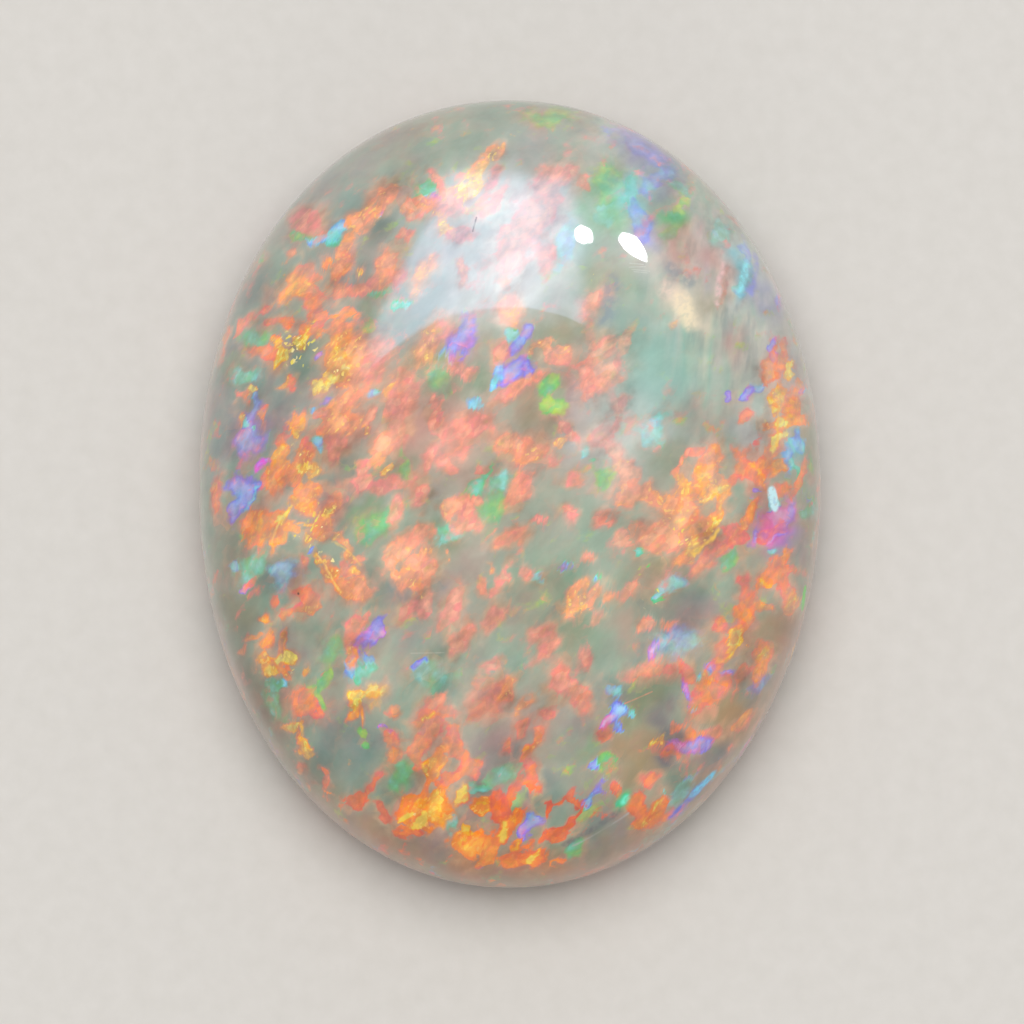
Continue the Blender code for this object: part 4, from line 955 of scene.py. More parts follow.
# %% The milk's tints
MILK_TINTS = (   # across, up, radius, strength, tint; the first covers the whole stone
    # the blue grey patches at the left rim are painted shade
    (0, 0, 99, 1, GREY_GREEN), (-3.6, 5.9, 1.6, 0.55, BLUE_GREY_AND_RIM_SHADE), (-5.7, 2, 1.8, 0.65, BLUE_GREY_AND_RIM_SHADE),
    (-5.4, -1.8, 1.3, 0.5, TEAL), (-1.8, 5.2, 1.3, 0.5, PALE_TEAL), (0.2, 7.5, 1.5, 0.6, TEAL),
    (2.4, 6.6, 1.4, 0.55, TEAL), (4.2, 4.9, 1.6, 0.65, PALE_TEAL), (3.1, 2.8, 1.5, 0.85, PALE_TEAL),
    (4.2, 2.2, 1.4, 0.55, PALE_TEAL), (-0.6, 1.2, 2, 0.45, PINK_GREY), (1.7, 1.6, 1.2, 0.4, PINK_GREY),
    (-2.3, 1.3, 0.9, 0.45, DUSTY_ROSE), (-1.2, 1.1, 0.8, 0.5, DUSTY_ROSE), (0.5, -1.8, 1.6, 0.4, TEAL),
    (-2.9, -4.9, 1.6, 0.4, TEAL), (-0.4, -5.2, 1.2, 0.5, PINK_GREY), (2.6, -5.4, 0.8, 0.6, REFLECTED_TAN),
    # the tan rows along the near rim are painted reflection of a brown surround and painted shade
    (5.6, -3, 0.8, 0.7, REFLECTED_TAN), (5, -4.6, 0.9, 0.7, REFLECTED_TAN), (4.2, -6.1, 0.8, 0.75, REFLECTED_TAN),
    (2.8, -7.3, 0.9, 0.9, REFLECTED_TAN), (0.9, -7.9, 0.8, 0.95, REFLECTED_TAN), (-1.2, -7.8, 0.8, 0.9, REFLECTED_TAN),
    (-3, -7.1, 0.7, 0.75, REFLECTED_TAN), (-4.5, -5.9, 0.6, 0.5, REFLECTED_TAN), (-5.5, -4, 0.6, 0.45, OLIVE),
    (6.2, -0.9, 0.5, 0.6, REFLECTED_TAN), (6.1, 1, 0.5, 0.45, OLIVE), (5.7, 3.6, 0.5, 0.45, OLIVE),
    (-2.75, 5.45, 0.5, 0.75, DEEP_TEAL), (-2.95, 4.6, 0.26, 0.55, DEEP_TEAL),
    (-2.75, 4.05, 0.28, 0.65, DEEP_TEAL), (-3.2, 3.38, 0.3, 0.55, SLATE),
    (-2.95, 3.65, 0.25, 0.45, MOSS), (-5.2, 4.2, 0.6, 0.45, SLATE), (-4.25, 2.65, 0.4, 0.6, DEEP_TEAL),
    (-5.5, 2.65, 0.5, 0.55, SLATE), (-5.45, 2.3, 0.26, 0.5, DEEP_TEAL), (-4.85, 1.9, 0.45, 0.5, SLATE),
    (-5.5, 1.15, 0.55, 0.7, INDIGO_GREY), (-3.4, 0.45, 0.4, 0.65, DEEP_TEAL),
    (-2.6, 0.6, 0.32, 0.5, MOSS), (-2.1, 0.5, 0.32, 0.55, MOSS), (-1.5, 2.5, 0.6, 0.65, MOSS),
    (-0.7, 3.4, 0.48, 0.7, OLIVE), (-0.7, 2.4, 0.32, 0.55, MOSS), (0.9, 3.45, 0.55, 0.7, OLIVE),
    (-0.15, 0.38, 0.38, 0.75, DEEP_TEAL), (1.6, 6.8, 0.6, 0.55, MOSS), (1.75, 4.4, 0.48, 0.65, MOSS),
    (2.5, 4.35, 0.42, 0.55, MOSS), (3.5, 4.35, 0.38, 0.6, SLATE), (1.7, 3.25, 0.32, 0.6, OLIVE),
    (0.5, 1.5, 0.5, 0.55, OLIVE), (0.25, 2.05, 0.35, 0.5, OLIVE), (1.5, 1.9, 0.55, 0.45, MAUVE),
    (3.2, 0.75, 0.42, 0.45, MOSS), (2.4, 1.4, 0.45, 0.55, TEAL), (4.2, 1.55, 0.55, 0.5, PINK_GREY),
    (4.9, 1.3, 0.38, 0.55, SLATE), (1.5, 0.9, 0.32, 0.55, BLUE_GREY_AND_RIM_SHADE),
    (-5.7, -0.9, 0.5, 0.45, DEEP_TEAL), (-5, -1.45, 0.6, 0.55, DEEP_TEAL),
    (-4.5, -1.75, 0.4, 0.55, SLATE), (-3.3, -0.5, 0.38, 0.6, DEEP_TEAL), (-2.75, -0.6, 0.42, 0.7, MOSS),
    (-2.7, -1.8, 0.45, 0.7, DEEP_TEAL), (-2.3, -2.2, 0.36, 0.6, SLATE),
    (-3.6, -2.35, 0.42, 0.45, PINK_GREY), (-5.5, -2.4, 0.42, 0.45, OLIVE),
    (-3.6, -3, 0.5, 0.6, DEEP_TEAL), (-4.5, -3.1, 0.32, 0.5, MAUVE),
    (-2.1, -2.9, 0.45, 0.45, BLUE_GREY_AND_RIM_SHADE), (-1.55, -3.62, 0.4, 0.9, DEEP_TEAL),
    (-4.6, -4.15, 0.45, 0.8, DEEP_TEAL), (-3.6, -4.8, 0.5, 0.6, SLATE), (-3.2, -5.3, 0.65, 0.5, SLATE),
    (-3.85, -5.45, 0.45, 0.5, SLATE), (-2.3, -5.7, 0.42, 0.7, MOSS), (-2.6, -6.2, 0.35, 0.6, DEEP_TEAL),
    (-0.6, -6, 0.38, 0.8, DEEP_TEAL), (-1.2, -6.65, 0.28, 0.8, DEEP_TEAL),
    (-1.7, -7.05, 0.45, 0.8, INDIGO_GREY), (-1.3, -0.8, 0.42, 0.55, MOSS),
    (-0.35, -5.4, 0.6, 0.5, MAUVE), (-0.35, -0.3, 0.32, 0.5, MOSS), (0.8, -1.95, 0.8, 0.4, MOSS),
    (1.1, -2.9, 0.6, 0.5, MOSS), (3, -1.6, 0.6, 0.65, OLIVE), (3.6, -1.9, 0.5, 0.6, DEEP_TEAL),
    (2.9, -2.3, 0.42, 0.6, DEEP_TEAL), (3.3, -2.92, 0.48, 0.75, SLATE), (3.8, -2.4, 0.42, 0.5, MAUVE),
    (2.3, -2.6, 0.42, 0.45, DUSTY_ROSE), (2.6, -4.2, 0.6, 0.8, MOSS), (2.1, -3.9, 0.32, 0.6, SLATE),
    (3.2, -4.5, 0.32, 0.6, INDIGO_GREY), (4.3, -4.4, 0.5, 0.5, REFLECTED_TAN), (4.5, -3.4, 0.38, 0.55, MAUVE),
    (4.9, -3.9, 0.32, 0.6, SLATE), (1.3, -4.6, 0.5, 0.45, MAUVE), (1.55, -5.2, 0.45, 0.45, TEAL),
    (0.1, -5.5, 0.42, 0.6, DEEP_TEAL), (0.8, -5.9, 0.42, 0.45, SLATE),
    (0.4, -6.3, 0.32, 0.7, DEEP_TEAL), (3.5, -5.15, 0.42, 0.7, INDIGO_GREY),
    (3.55, -5.9, 0.4, 0.85, DEEP_TEAL), (4.2, -5.2, 0.32, 0.7, INDIGO_GREY),
    (1.5, -6.9, 0.5, 0.55, OLIVE), (2.05, -6.8, 0.4, 0.7, SLATE), (2, -7.2, 0.4, 0.45, TEAL),
    (1.05, -7.2, 0.4, 0.55, OLIVE), (5.3, -3.9, 0.4, 0.45, BLUE_GREY_AND_RIM_SHADE), (5.9, -1.2, 0.38, 0.55, MAUVE),
    (-0.9, -1.5, 0.6, 0.4, PINK_GREY), (0.5, 6.9, 0.5, 0.35, BLUE_GREY_AND_RIM_SHADE),
    (1.35, -7.12, 0.18, 0.6, SLATE), (1.65, -6.95, 0.2, 0.75, SLATE), (1.95, -6.74, 0.2, 0.75, SLATE),
    (2.22, -6.56, 0.18, 0.6, SLATE), (-1.3, 4.6, 0.8, 0.45, BLUE_GREY_AND_RIM_SHADE), (-0.6, 4.4, 0.5, 0.45, CREAM),
    (0.35, 4.3, 0.5, 0.45, CREAM), (-1.9, 3.6, 0.6, 0.4, BLUE_GREY_AND_RIM_SHADE), (0.2, 6, 0.5, 0.3, CREAM),
    (5, 4.6, 0.9, 0.45, PALE_LILAC), (5.4, 3.1, 0.9, 0.45, PALE_LILAC),
    (5.1, 1.3, 0.6, 0.35, PALE_LILAC), (3.6, 4.4, 0.9, 0.3, PALE_LILAC),
    (1.7, 7.2, 0.8, 0.35, PALE_TEAL), (1.5, 5.9, 0.6, 0.35, PALE_TEAL),
    # the dark olive rows at the lower left rim are painted shade
    (2.2, 1.2, 0.55, 0.3, PALE_TEAL), (-5.2, -4.9, 0.6, 0.65, RIM_SHADE_OLIVE),
    (-5.6, -3.7, 0.5, 0.55, RIM_SHADE_OLIVE), (-5.6, -1.3, 0.6, 0.35, RIM_SHADE_OLIVE),
    # the brown rows along the near rim are painted reflection of a brown surround and painted shade
    (-3.6, -6.6, 0.6, 0.4, REFLECTED_TAN), (-2.3, -7.4, 0.7, 0.6, REFLECTED_BROWN), (-0.9, -7.8, 0.7, 0.7, REFLECTED_BROWN),
    (0.6, -7.9, 0.7, 0.75, REFLECTED_BROWN), (2.2, -7.6, 0.7, 0.65, REFLECTED_BROWN), (3.4, -6.9, 0.5, 0.45, REFLECTED_BROWN),
    (5.3, -4.9, 0.55, 0.5, REFLECTED_BROWN), (6, -3, 0.45, 0.4, REFLECTED_BROWN), (2.7, 7, 0.42, 0.5, SOFT_VIOLET),
    (3.05, 6.45, 0.32, 0.4, SOFT_VIOLET), (2.75, 5.5, 0.22, 0.4, SOFT_VIOLET),
    (6, 2.2, 0.22, 0.45, SOFT_VIOLET), (-5.4, 1.3, 0.36, 0.3, SOFT_VIOLET),
    (-1, 3.15, 0.26, 0.4, SOFT_VIOLET), (5.55, 3.85, 0.26, 0.35, SOFT_VIOLET),
    (2.05, 6.15, 0.36, 0.45, SOFT_GREEN), (3.35, 5.5, 0.2, 0.45, SOFT_GREEN),
    (0.8, 2.1, 0.34, 0.4, SOFT_GREEN), (-2.75, -0.62, 0.34, 0.45, SOFT_GREEN),
    (-2.2, -5.7, 0.28, 0.45, SOFT_GREEN), (-5.6, 2.6, 0.26, 0.35, SOFT_GREEN),
    (0, 0.1, 0.24, 0.35, SOFT_GREEN), (1.6, -5.3, 0.22, 0.4, SOFT_GREEN),
    (1.2, 5.05, 0.3, 0.35, SOFT_CYAN), (4.72, 4.5, 0.18, 0.45, SOFT_CYAN),
    (2.95, 1.5, 0.3, 0.35, SOFT_CYAN), (-3.1, -3.6, 0.3, 0.4, SOFT_CYAN),
    (0.6, 6, 0.6, 0.35, PALE_LILAC), (0.1, 4, 0.5, 0.25, PALE_LILAC), (3.55, 3.85, 0.42, 0.65, CREAM),
    (3.85, 3.45, 0.26, 0.6, CREAM), (3.85, 5.05, 0.45, 0.4, DUSTY_ROSE),
    (3.1, 4.6, 0.6, 0.35, BLUE_GREY_AND_RIM_SHADE), (4.85, 4.3, 0.45, 0.4, BLUE_GREY_AND_RIM_SHADE),
    (4.5, 4.4, 0.25, 0.45, PINK_GREY), (2.6, 6.9, 0.45, 0.45, INDIGO_GREY),
    (4.6, 2.6, 0.6, 0.35, PINK_GREY), (3.5, 2.2, 0.8, 0.35, TEAL),
)
print(len(MILK_TINTS), "tints")

# %% Lay the tints on the skin
MILK_DRIFT = ((0.22, 0.45), (0.08, 0.15))   # (reach, spacing) of the noise that moves them, in mm
FULLER = 1.25                    # all tints are laid this much stronger than the table says
STEEPER = 1.5                    # above 1, so that a tint is even inside and ends sooner
milk = np.zeros((len(skin_points), 3))
drift_across, drift_up = shaken(across, MILK_DRIFT, 5), shaken(up, MILK_DRIFT, 7)
for x, y, radius, strength, tint in MILK_TINTS:
    away = ((drift_across - x) ** 2 + (drift_up - y) ** 2) / radius ** 2
    share = min(1.0, FULLER * strength) * np.exp(-away ** STEEPER)
    milk += (np.array(colour(*tint)) - milk) * share[:, None]
print("mean tint of the top", milk.mean(0).round(3))

# %% [markdown]
# The sides and the back get the same milk in soft waves, with a brown painted on the near side as the
# reflection of a brown surround.

# %% The milk of the sides
# how much painted brown reflection the near side gets
SIDE_REFLECTED_BROWN = 0.75                # how much of it, at most
drift = np.clip(soft_waves(9, 1.5, 4.0), 0, 1)[:, None]
# painted reflection of a brown surround, strongest on the near side
reflected_brown_side = smooth_step(0.5 * x_mm - y_mm, 0.5, 6.0)[:, None]
side_milk = np.array(colour(*GREY_GREEN)) * drift + np.array(colour(*PINK_GREY)) * (1 - drift)
side_milk += (np.array(colour(*REFLECTED_BROWN)) - side_milk) * reflected_brown_side * SIDE_REFLECTED_BROWN
milk += (side_milk - milk) * (0.85 * steep[:, None])
add_tints("milk", milk, np.ones(len(milk)))
print("mean tint", milk.mean(0).round(3))

# %% [markdown]
# In some places the milk also lies over the fire, so the flakes shine through it only faintly: a
# pale cloud at the far end and right of it. Along the near edge and the lower left rim, amber and
# umber covers are painted reflection of a brown surround and painted shade. The colour and the
# thickness of this cover share one attribute, with the thickness as its fourth number.

# %% Milk over the fire
CLOUD = (214, 222, 218)
# amber and umber are painted reflection of a brown surround and painted shade at the rim
REFLECTED_AMBER = (184, 104, 36)
SHADE_AND_REFLECTED_UMBER = (92, 78, 56)
MAGENTA = (238, 98, 158)
COVERS = (   # across, up, radius, thickness, tint
    (0.2, 5.4, 1.4, 0.4, CLOUD), (-0.9, 4.1, 0.9, 0.25, CLOUD), (4.9, 4.3, 1.2, 0.26, CLOUD),
    (2.2, 1.3, 0.9, 0.32, CLOUD), (5.3, 2, 0.9, 0.22, CLOUD), (2.2, 7, 0.7, 0.2, CLOUD),
    # the amber and umber covers are painted reflection and painted shade along the near and lower left
    # rim
    (-5.4, -4.7, 0.8, 0.75, SHADE_AND_REFLECTED_UMBER), (-5.9, -2.6, 0.6, 0.4, SHADE_AND_REFLECTED_UMBER), (-0.2, -7.4, 0.8, 0.25, SHADE_AND_REFLECTED_UMBER),
    (-5.7, -3.4, 0.6, 0.3, SHADE_AND_REFLECTED_UMBER), (-4, -6.2, 0.7, 0.3, SHADE_AND_REFLECTED_UMBER), (-2.4, -7.5, 0.5, 0.4, REFLECTED_AMBER),
    (-0.9, -7.9, 0.5, 0.55, REFLECTED_AMBER), (0.7, -8, 0.5, 0.6, REFLECTED_AMBER), (2.1, -7.6, 0.6, 0.4, SHADE_AND_REFLECTED_UMBER),
    (5.3, -4.9, 0.6, 0.4, REFLECTED_AMBER), (3.55, 3.95, 0.42, 0.65, CREAM), (3.8, 3.45, 0.28, 0.6, CREAM),
    (4.72, 4.6, 0.2, 0.75, SOFT_CYAN), (4.68, 4.22, 0.2, 0.7, SOFT_CYAN),
    (4.98, 4.3, 0.26, 0.45, SOFT_VIOLET), (5.35, 3.7, 0.3, 0.4, SOFT_VIOLET),
    (2.7, 6.9, 0.34, 0.35, SOFT_VIOLET), (2.95, 6.3, 0.3, 0.3, BLUE_GREY_AND_RIM_SHADE),
    (2.65, 5.35, 0.28, 0.5, SOFT_VIOLET), (2, 5.75, 0.42, 0.55, SOFT_GREEN),
    (1.75, 5.15, 0.4, 0.4, TEAL), (3.35, 5.55, 0.26, 0.55, SOFT_GREEN),
    (2.4, 6.1, 0.28, 0.45, SOFT_CYAN), (1.5, 4.4, 0.4, 0.25, MOSS), (2.6, 3, 0.8, 0.45, TEAL),
    (3, 2.2, 0.7, 0.4, PALE_TEAL), (3.3, 5, 0.35, 0.35, DUSTY_ROSE), (4.2, 4.6, 0.28, 0.4, DUSTY_ROSE),
    (4.55, 3.1, 0.3, 0.35, DUSTY_ROSE), (4.1, 3.9, 0.3, 0.4, OLIVE), (3.95, 2.9, 0.4, 0.35, GREY_GREEN),
    (5.6, 2.55, 0.24, 0.4, MAUVE), (5.3, -0.62, 0.34, 0.75, MAGENTA),
    (5.55, -0.85, 0.22, 0.45, SOFT_VIOLET), (5.65, 0.95, 0.24, 0.35, SOFT_CYAN),
)
NEXT_TO_NOTHING = 1e-6           # keeps the mean colour defined where there is no cover
cover = np.zeros((len(skin_points), 3))
thickness = np.full(len(skin_points), NEXT_TO_NOTHING)
for x, y, radius, strength, tint in COVERS:
    away = ((drift_across - x) ** 2 + (drift_up - y) ** 2) / radius ** 2
    share = strength * np.exp(-away) * (1 - 0.7 * steep)
    cover += np.array(colour(*tint)) * share[:, None]
    thickness += share
add_tints("cover", cover / thickness[:, None], np.clip(thickness, 0, 1))
print("thickest cover", round(float(thickness.max()), 2))

# %% [markdown]
# ## The opal's finish
# Each layer of the material is something a maker sees in the stone: the milk, a warm haze where
# colour lies deep, the cool flakes, the warm flakes over them, and last tiny gold glints. A flake's
# edge is where its presence, stirred by cells and noise, passes one half, so flakes are ragged
# while the laid flashes are only torn ellipses.

# %% Helpers for the material
def attribute(tree, name):
    return out(node(tree, "ShaderNodeAttribute", attribute_name=name), "Fac")


def mixed(share, first, second, blend="MIX"):
    """Two colours, the second laid over the first by a share."""
    inputs = {0: share, 6: first, 7: second}
    return out(node(share.tree, "ShaderNodeMix", inputs, data_type="RGBA", blend_type=blend), 2)


def paint(*tint):
    return (*colour(*tint), 1.0)


def ramp(wire, stops):
    """A colour for every value of a wire, from (place, colour) stops."""
    made = node(wire.tree, "ShaderNodeValToRGB", {"Fac": wire})
    elements = made.color_ramp.elements
    while len(elements) < len(stops):
        elements.new(0.5)
    for element, (place, tint) in zip(elements, stops):
        element.position = place
        element.color = paint(*tint)
    return out(made, "Color")


def clouds(place, scale, detail=2.0, key="Fac"):
    """Noise of a given number of blotches per millimetre."""
    inputs = {"Vector": place, "Scale": scale, "Detail": detail}
    return out(node(place.tree, "ShaderNodeTexNoise", inputs), key)


def cells(place, scale):
    """Random numbers that are the same all over each cell: three of them."""
    made = node(place.tree, "ShaderNodeTexVoronoi", {"Vector": place, "Scale": scale})
    return parts(out(made, "Color"))


def drawn_out(place, turn, lengths):
    """The place in turned and stretched space: noise read there comes out long in one direction."""
    made = node(place.tree, "ShaderNodeMapping", {"Vector": place}, vector_type="TEXTURE")
    made.inputs["Rotation"].default_value = (0, 0, turn)
    made.inputs["Scale"].default_value = lengths
    return out(made)


def wander(place, scale, detail, reach):
    """A small shift that noise gives to a place, up to half the reach each way."""
    shift = vector_formula("SUBTRACT", clouds(place, scale, detail, "Color"), (0.5, 0.5, 0.5))
    return scaled(shift, reach)


def swing(noise, reach):
    """Noise made to swing round 0, up to half the reach each way."""
    return (noise - 0.5) * reach


def spread(noise, contrast):
    """Noise pulled apart round its middle, so that it reaches both ends of a ramp."""
    return noise * contrast + (1 - contrast) / 2


print("milky white is", [round(level, 3) for level in colour(235, 238, 230)])

# %% The stirred place
GRAIN_TURN = math.radians(50)    # the stone's growth lines run this way, seen from above
GRAIN_STRETCH = 1.5              # a flake is this much longer along them
GRAIN_DROP = 1.9                 # and this much longer downwards, so steep sides aren't crowded
STIR = 0.50                      # the reach of the noise that stirs the cells, in mm
COARSE, FINE, GRIT = 1.9, 5.4, 14.0   # cells per mm
tree = opal.node_tree
tree.nodes.clear()
place = scaled(out(node(tree, "ShaderNodeTexCoord"), "Object"), 1 / MM)
grain = drawn_out(place, GRAIN_TURN, (GRAIN_STRETCH, 1, GRAIN_DROP))
stirred = vector_formula("ADD", grain, wander(grain, 1.3, 3.5, STIR))
coarse, fine, grit = (cells(stirred, scale) for scale in (COARSE, FINE, GRIT))
fibres = clouds(grain, 3.2, 4.0)
print("grain stretched", GRAIN_STRETCH, "times along", round(math.degrees(GRAIN_TURN)), "degrees")

# %% Presence becomes flakes
CELL_SHARES = (0.13, 0.17, 0.07)  # how much the coarse, fine and grit cells tear a flake's edge
FIBRE_SHARE = 1.4                # and how much the fibres do
MIDDLE_CALM = 0.62               # the tearing weakens to this share in the middle of a flake
DEPTH_BLUR = 0.34                # a deep flake has a soft edge


def flakes(presence, depth, shares, strength, softness):
    """How much flake is here (0 to 1), and how far inside its edge the place lies."""
    noise = swing(fibres, FIBRE_SHARE)
    for share, weight in zip(shares, CELL_SHARES):
        noise = noise + swing(share, weight)
    inside = presence + noise * stretch(presence, 0.5, 1.0, strength, MIDDLE_CALM * strength) - 0.5
    blur = depth * DEPTH_BLUR + shares[0] * 0.16 + softness
    mask = stretch(inside / blur, -1.0, 1.0, smooth=True)
    return mask, inside


warm_presence, warm_depth = attribute(tree, "warm"), attribute(tree, "warm_depth")
cool_presence, cool_depth = attribute(tree, "cool"), attribute(tree, "cool_depth")
glow_here, clear = attribute(tree, "haze"), attribute(tree, "clear")
warm_cells, cool_cells = ([numbers[key] for numbers in (coarse, fine, grit)] for key in (0, 1))
warm_mask, warm_inside = flakes(warm_presence + glow_here * 0.20, warm_depth, warm_cells,
                                1.70, 0.19 - clear * 0.08)
cool_mask, cool_inside = flakes(cool_presence, cool_depth, cool_cells, 1.40, 0.20)
print("flake masks ready")

# %% [markdown]
# A warm flake is reddest at its thin edge and yellowest at its thick middle, because the spheres
# there are stacked the other way. The ramp therefore reads the laid colour plus the way inside.

# %% The colours of the flakes
WARM_MILKY = ((0.0, (236, 138, 134)), (0.12, (242, 144, 126)), (0.35, (248, 153, 120)),
              (0.58, (251, 164, 104)), (0.78, (253, 186, 92)), (0.92, (253, 210, 102)),
              (1.0, (248, 232, 134)))
WARM_CLEAR = ((0.0, (234, 112, 112)), (0.12, (242, 120, 96)), (0.35, (250, 132, 74)),
              (0.58, (255, 148, 46)), (0.78, (255, 174, 36)), (0.92, (255, 208, 48)),
              (1.0, (250, 234, 96)))
COOL_COLOURS = ((0.0, (180, 212, 76)), (0.17, (92, 196, 104)), (0.35, (76, 196, 156)),
                (0.5, (98, 218, 214)), (0.65, (90, 172, 242)), (0.77, (94, 112, 246)),
                (0.9, (148, 102, 242)), (1.0, (240, 104, 200)))
print(len(WARM_MILKY) + len(WARM_CLEAR) + len(COOL_COLOURS), "stops")

# %% The place on the ramp
WARM_DRIFT = 0.55                # how far noise moves a warm flake along its ramp, both ways together
COOL_DRIFT = 0.65                # and a cool one
FINE_DRIFT = 0.18                # how far a fine cell moves a warm flake
GRIT_DRIFT = 0.16                # and a grit cell
CLEAR_DRIFT = 0.16               # fine cells move it this much more in clear milk
CORE_DRIFT = 0.28                # the middle of a clear flake is this much yellower
AMBER_GLASS = paint(255, 216, 132)
laid_tone = attribute(tree, "warm_tone")
core = stretch(warm_inside, 0.05, 0.60)
warm_tone = laid_tone + swing(clouds(stirred, 4.5, 4.0), WARM_DRIFT)
warm_tone = warm_tone + swing(fine[2], clear * CLEAR_DRIFT + FINE_DRIFT) + swing(grit[2], GRIT_DRIFT)
warm_tone = (warm_tone + core * clear * CORE_DRIFT - clear * 0.03) * 0.92 - 0.03
warm_colour = mixed(clear, ramp(warm_tone, WARM_MILKY), ramp(warm_tone, WARM_CLEAR))
near_edge = stretch(clear, 0.8, 1.0)       # the clearest milk, where the fire is deepest in colour
warm_colour = mixed(near_edge * 0.7, warm_colour, AMBER_GLASS, "MULTIPLY")
cool_tone = attribute(tree, "cool_tone") + swing(clouds(place, 3.0), COOL_DRIFT) + swing(fine[2], 0.08)
cool_colour = ramp(cool_tone, COOL_COLOURS)
print("a warm flake drifts", WARM_DRIFT, "and a cool one", COOL_DRIFT, "of a ramp")

# %% [markdown]
# Under the flakes lies the milk, with a finer mottle over its painted tints. A warm haze lies where
# flashes are near, because deep flakes show only as a glow.

# %% The milk and the haze
MILK_MOTTLE = ((0.0, (96, 140, 124)), (0.25, (146, 172, 150)), (0.45, (176, 172, 150)),
               (0.65, (194, 152, 138)), (0.82, (176, 140, 142)), (1.0, (134, 136, 158)))
HAZE_COLOURS = ((0.0, (204, 142, 134)), (0.4, (224, 150, 122)), (0.7, (216, 164, 126)),
                (1.0, (196, 172, 136)))
PATCHES = 3.1                    # cells per mm
HAZE_SHARE = 0.66
milk_base = out(node(tree, "ShaderNodeAttribute", attribute_name="milk"), "Color")
mottle = ramp(spread(clouds(stirred, 0.9, 5.0), 1.6), MILK_MOTTLE)
small_mottle = ramp(spread(clouds(stirred, 2.2, 4.0), 1.9), MILK_MOTTLE)
patches = cells(stirred, PATCHES)
busy = glow_here * 0.75 + 0.25             # 1 where flashes are near and a quarter in empty milk
layer = mixed(stretch(clouds(place, 0.7, 2.0), 0.2, 0.8, 0.14, 0.42), milk_base, mottle)
layer = mixed(stretch(clouds(grain, 1.6, 3.0), 0.35, 0.65) * (busy * 0.30 + 0.20), layer, small_mottle)
layer = mixed(stretch(patches[0], 0.25, 1.0) * busy * 0.28, layer, ramp(patches[1], MILK_MOTTLE))
haze_noise = patches[2] * 0.20 + fine[1] * 0.12 + clouds(stirred, 1.7, 4.0) * 0.68
haze_here = stretch(glow_here * 0.60 + swing(haze_noise, 1.3), 0.0, 0.80, smooth=True)
haze_tint = ramp(patches[1] * 0.5 + coarse[2] * 0.5, HAZE_COLOURS)
layer = mixed(haze_here * HAZE_SHARE, layer, haze_tint)
print("the haze covers up to", HAZE_SHARE, "of the milk")

# %% [markdown]
# At the upper right the stone's grain shows as silky threads: noise that is stretched six times
# along its length makes them, bright where it is high and shaded where it is low.

# %% Silky threads
SILK_COLOURS = ((0.0, (150, 160, 222)), (0.2, (214, 176, 190)), (0.4, (236, 226, 196)),
                (0.6, (150, 206, 180)), (0.8, (226, 206, 196)), (1.0, (140, 200, 214)))
SILK_SHADE = paint(112, 138, 136)
SILK_TURN = math.radians(80)
SILK_LENGTHS = (6, 1, 2)
silky = attribute(tree, "silk")
along_silk = drawn_out(place, SILK_TURN, SILK_LENGTHS)
threads = clouds(along_silk, 4.0, 3.0)
silk_tint = ramp(spread(clouds(along_silk, 1.3, 2.0), 2.2), SILK_COLOURS)
layer = mixed(stretch(threads, 0.40, 0.62) * silky * 0.70, layer, silk_tint)
layer = mixed(stretch(threads, 0.50, 0.36) * silky * 0.45, layer, SILK_SHADE)
print("threads stretched", SILK_LENGTHS[0], "times")

# %% [markdown]
# The flakes are laid over the haze. No two of them are equally sheer, and a thick flake has a pale
# middle. The cover of milk goes under the flakes and once more over them, except in clear places.

# %% The flakes over the haze
PEACH = paint(255, 196, 156)
ICE = paint(214, 244, 248)
grains = clouds(grain, 6.0, 3.0)
sheer = stretch(grains + fine[1] * 0.16 + coarse[1] * 0.12, 0.44, 0.84, 0.34, 1.0)
pale_core = stretch(cool_inside, 0.10, 0.60) * stretch(cool_tone, 0.25, 0.60, 0.10, 0.42)
cool_colour = mixed(pale_core, cool_colour, ICE)
bright = stretch(warm_inside, 0.10, 0.60) * stretch(fine[0] + grains, 0.9, 1.3)
warm_colour = mixed(bright * 0.42 * (1 - clear * 0.8), warm_colour, PEACH)
over = node(tree, "ShaderNodeAttribute", attribute_name="cover")
cover_here = out(over, "Alpha") * (clouds(stirred, 1.1, 3.0) * 1.2 + 0.4)
layer = mixed(cover_here, layer, out(over, "Color"))
layer = mixed(cool_mask * (1 - cool_depth * 0.60) * (sheer * 0.5 + 0.5), layer, cool_colour)
solid = sheer + (1 - sheer) * near_edge * 0.7
layer = mixed(warm_mask * (1 - warm_depth * 0.45) * solid, layer, warm_colour)
layer = mixed(cover_here * (1 - clear), layer, out(over, "Color"))
light_and_dark = swing(clouds(stirred, 1.4, 4.0), busy * 1.5 + 0.3) + swing(grains, busy * 0.5)
layer = scaled(layer, light_and_dark + 0.99)
print("flakes laid")

# %% [markdown]
# Gold glints sit on the yellow flakes, and glitter in its own spots. Both are single cells of a
# fine pattern that happen to draw a high number, so they are tiny, sharp and scattered.

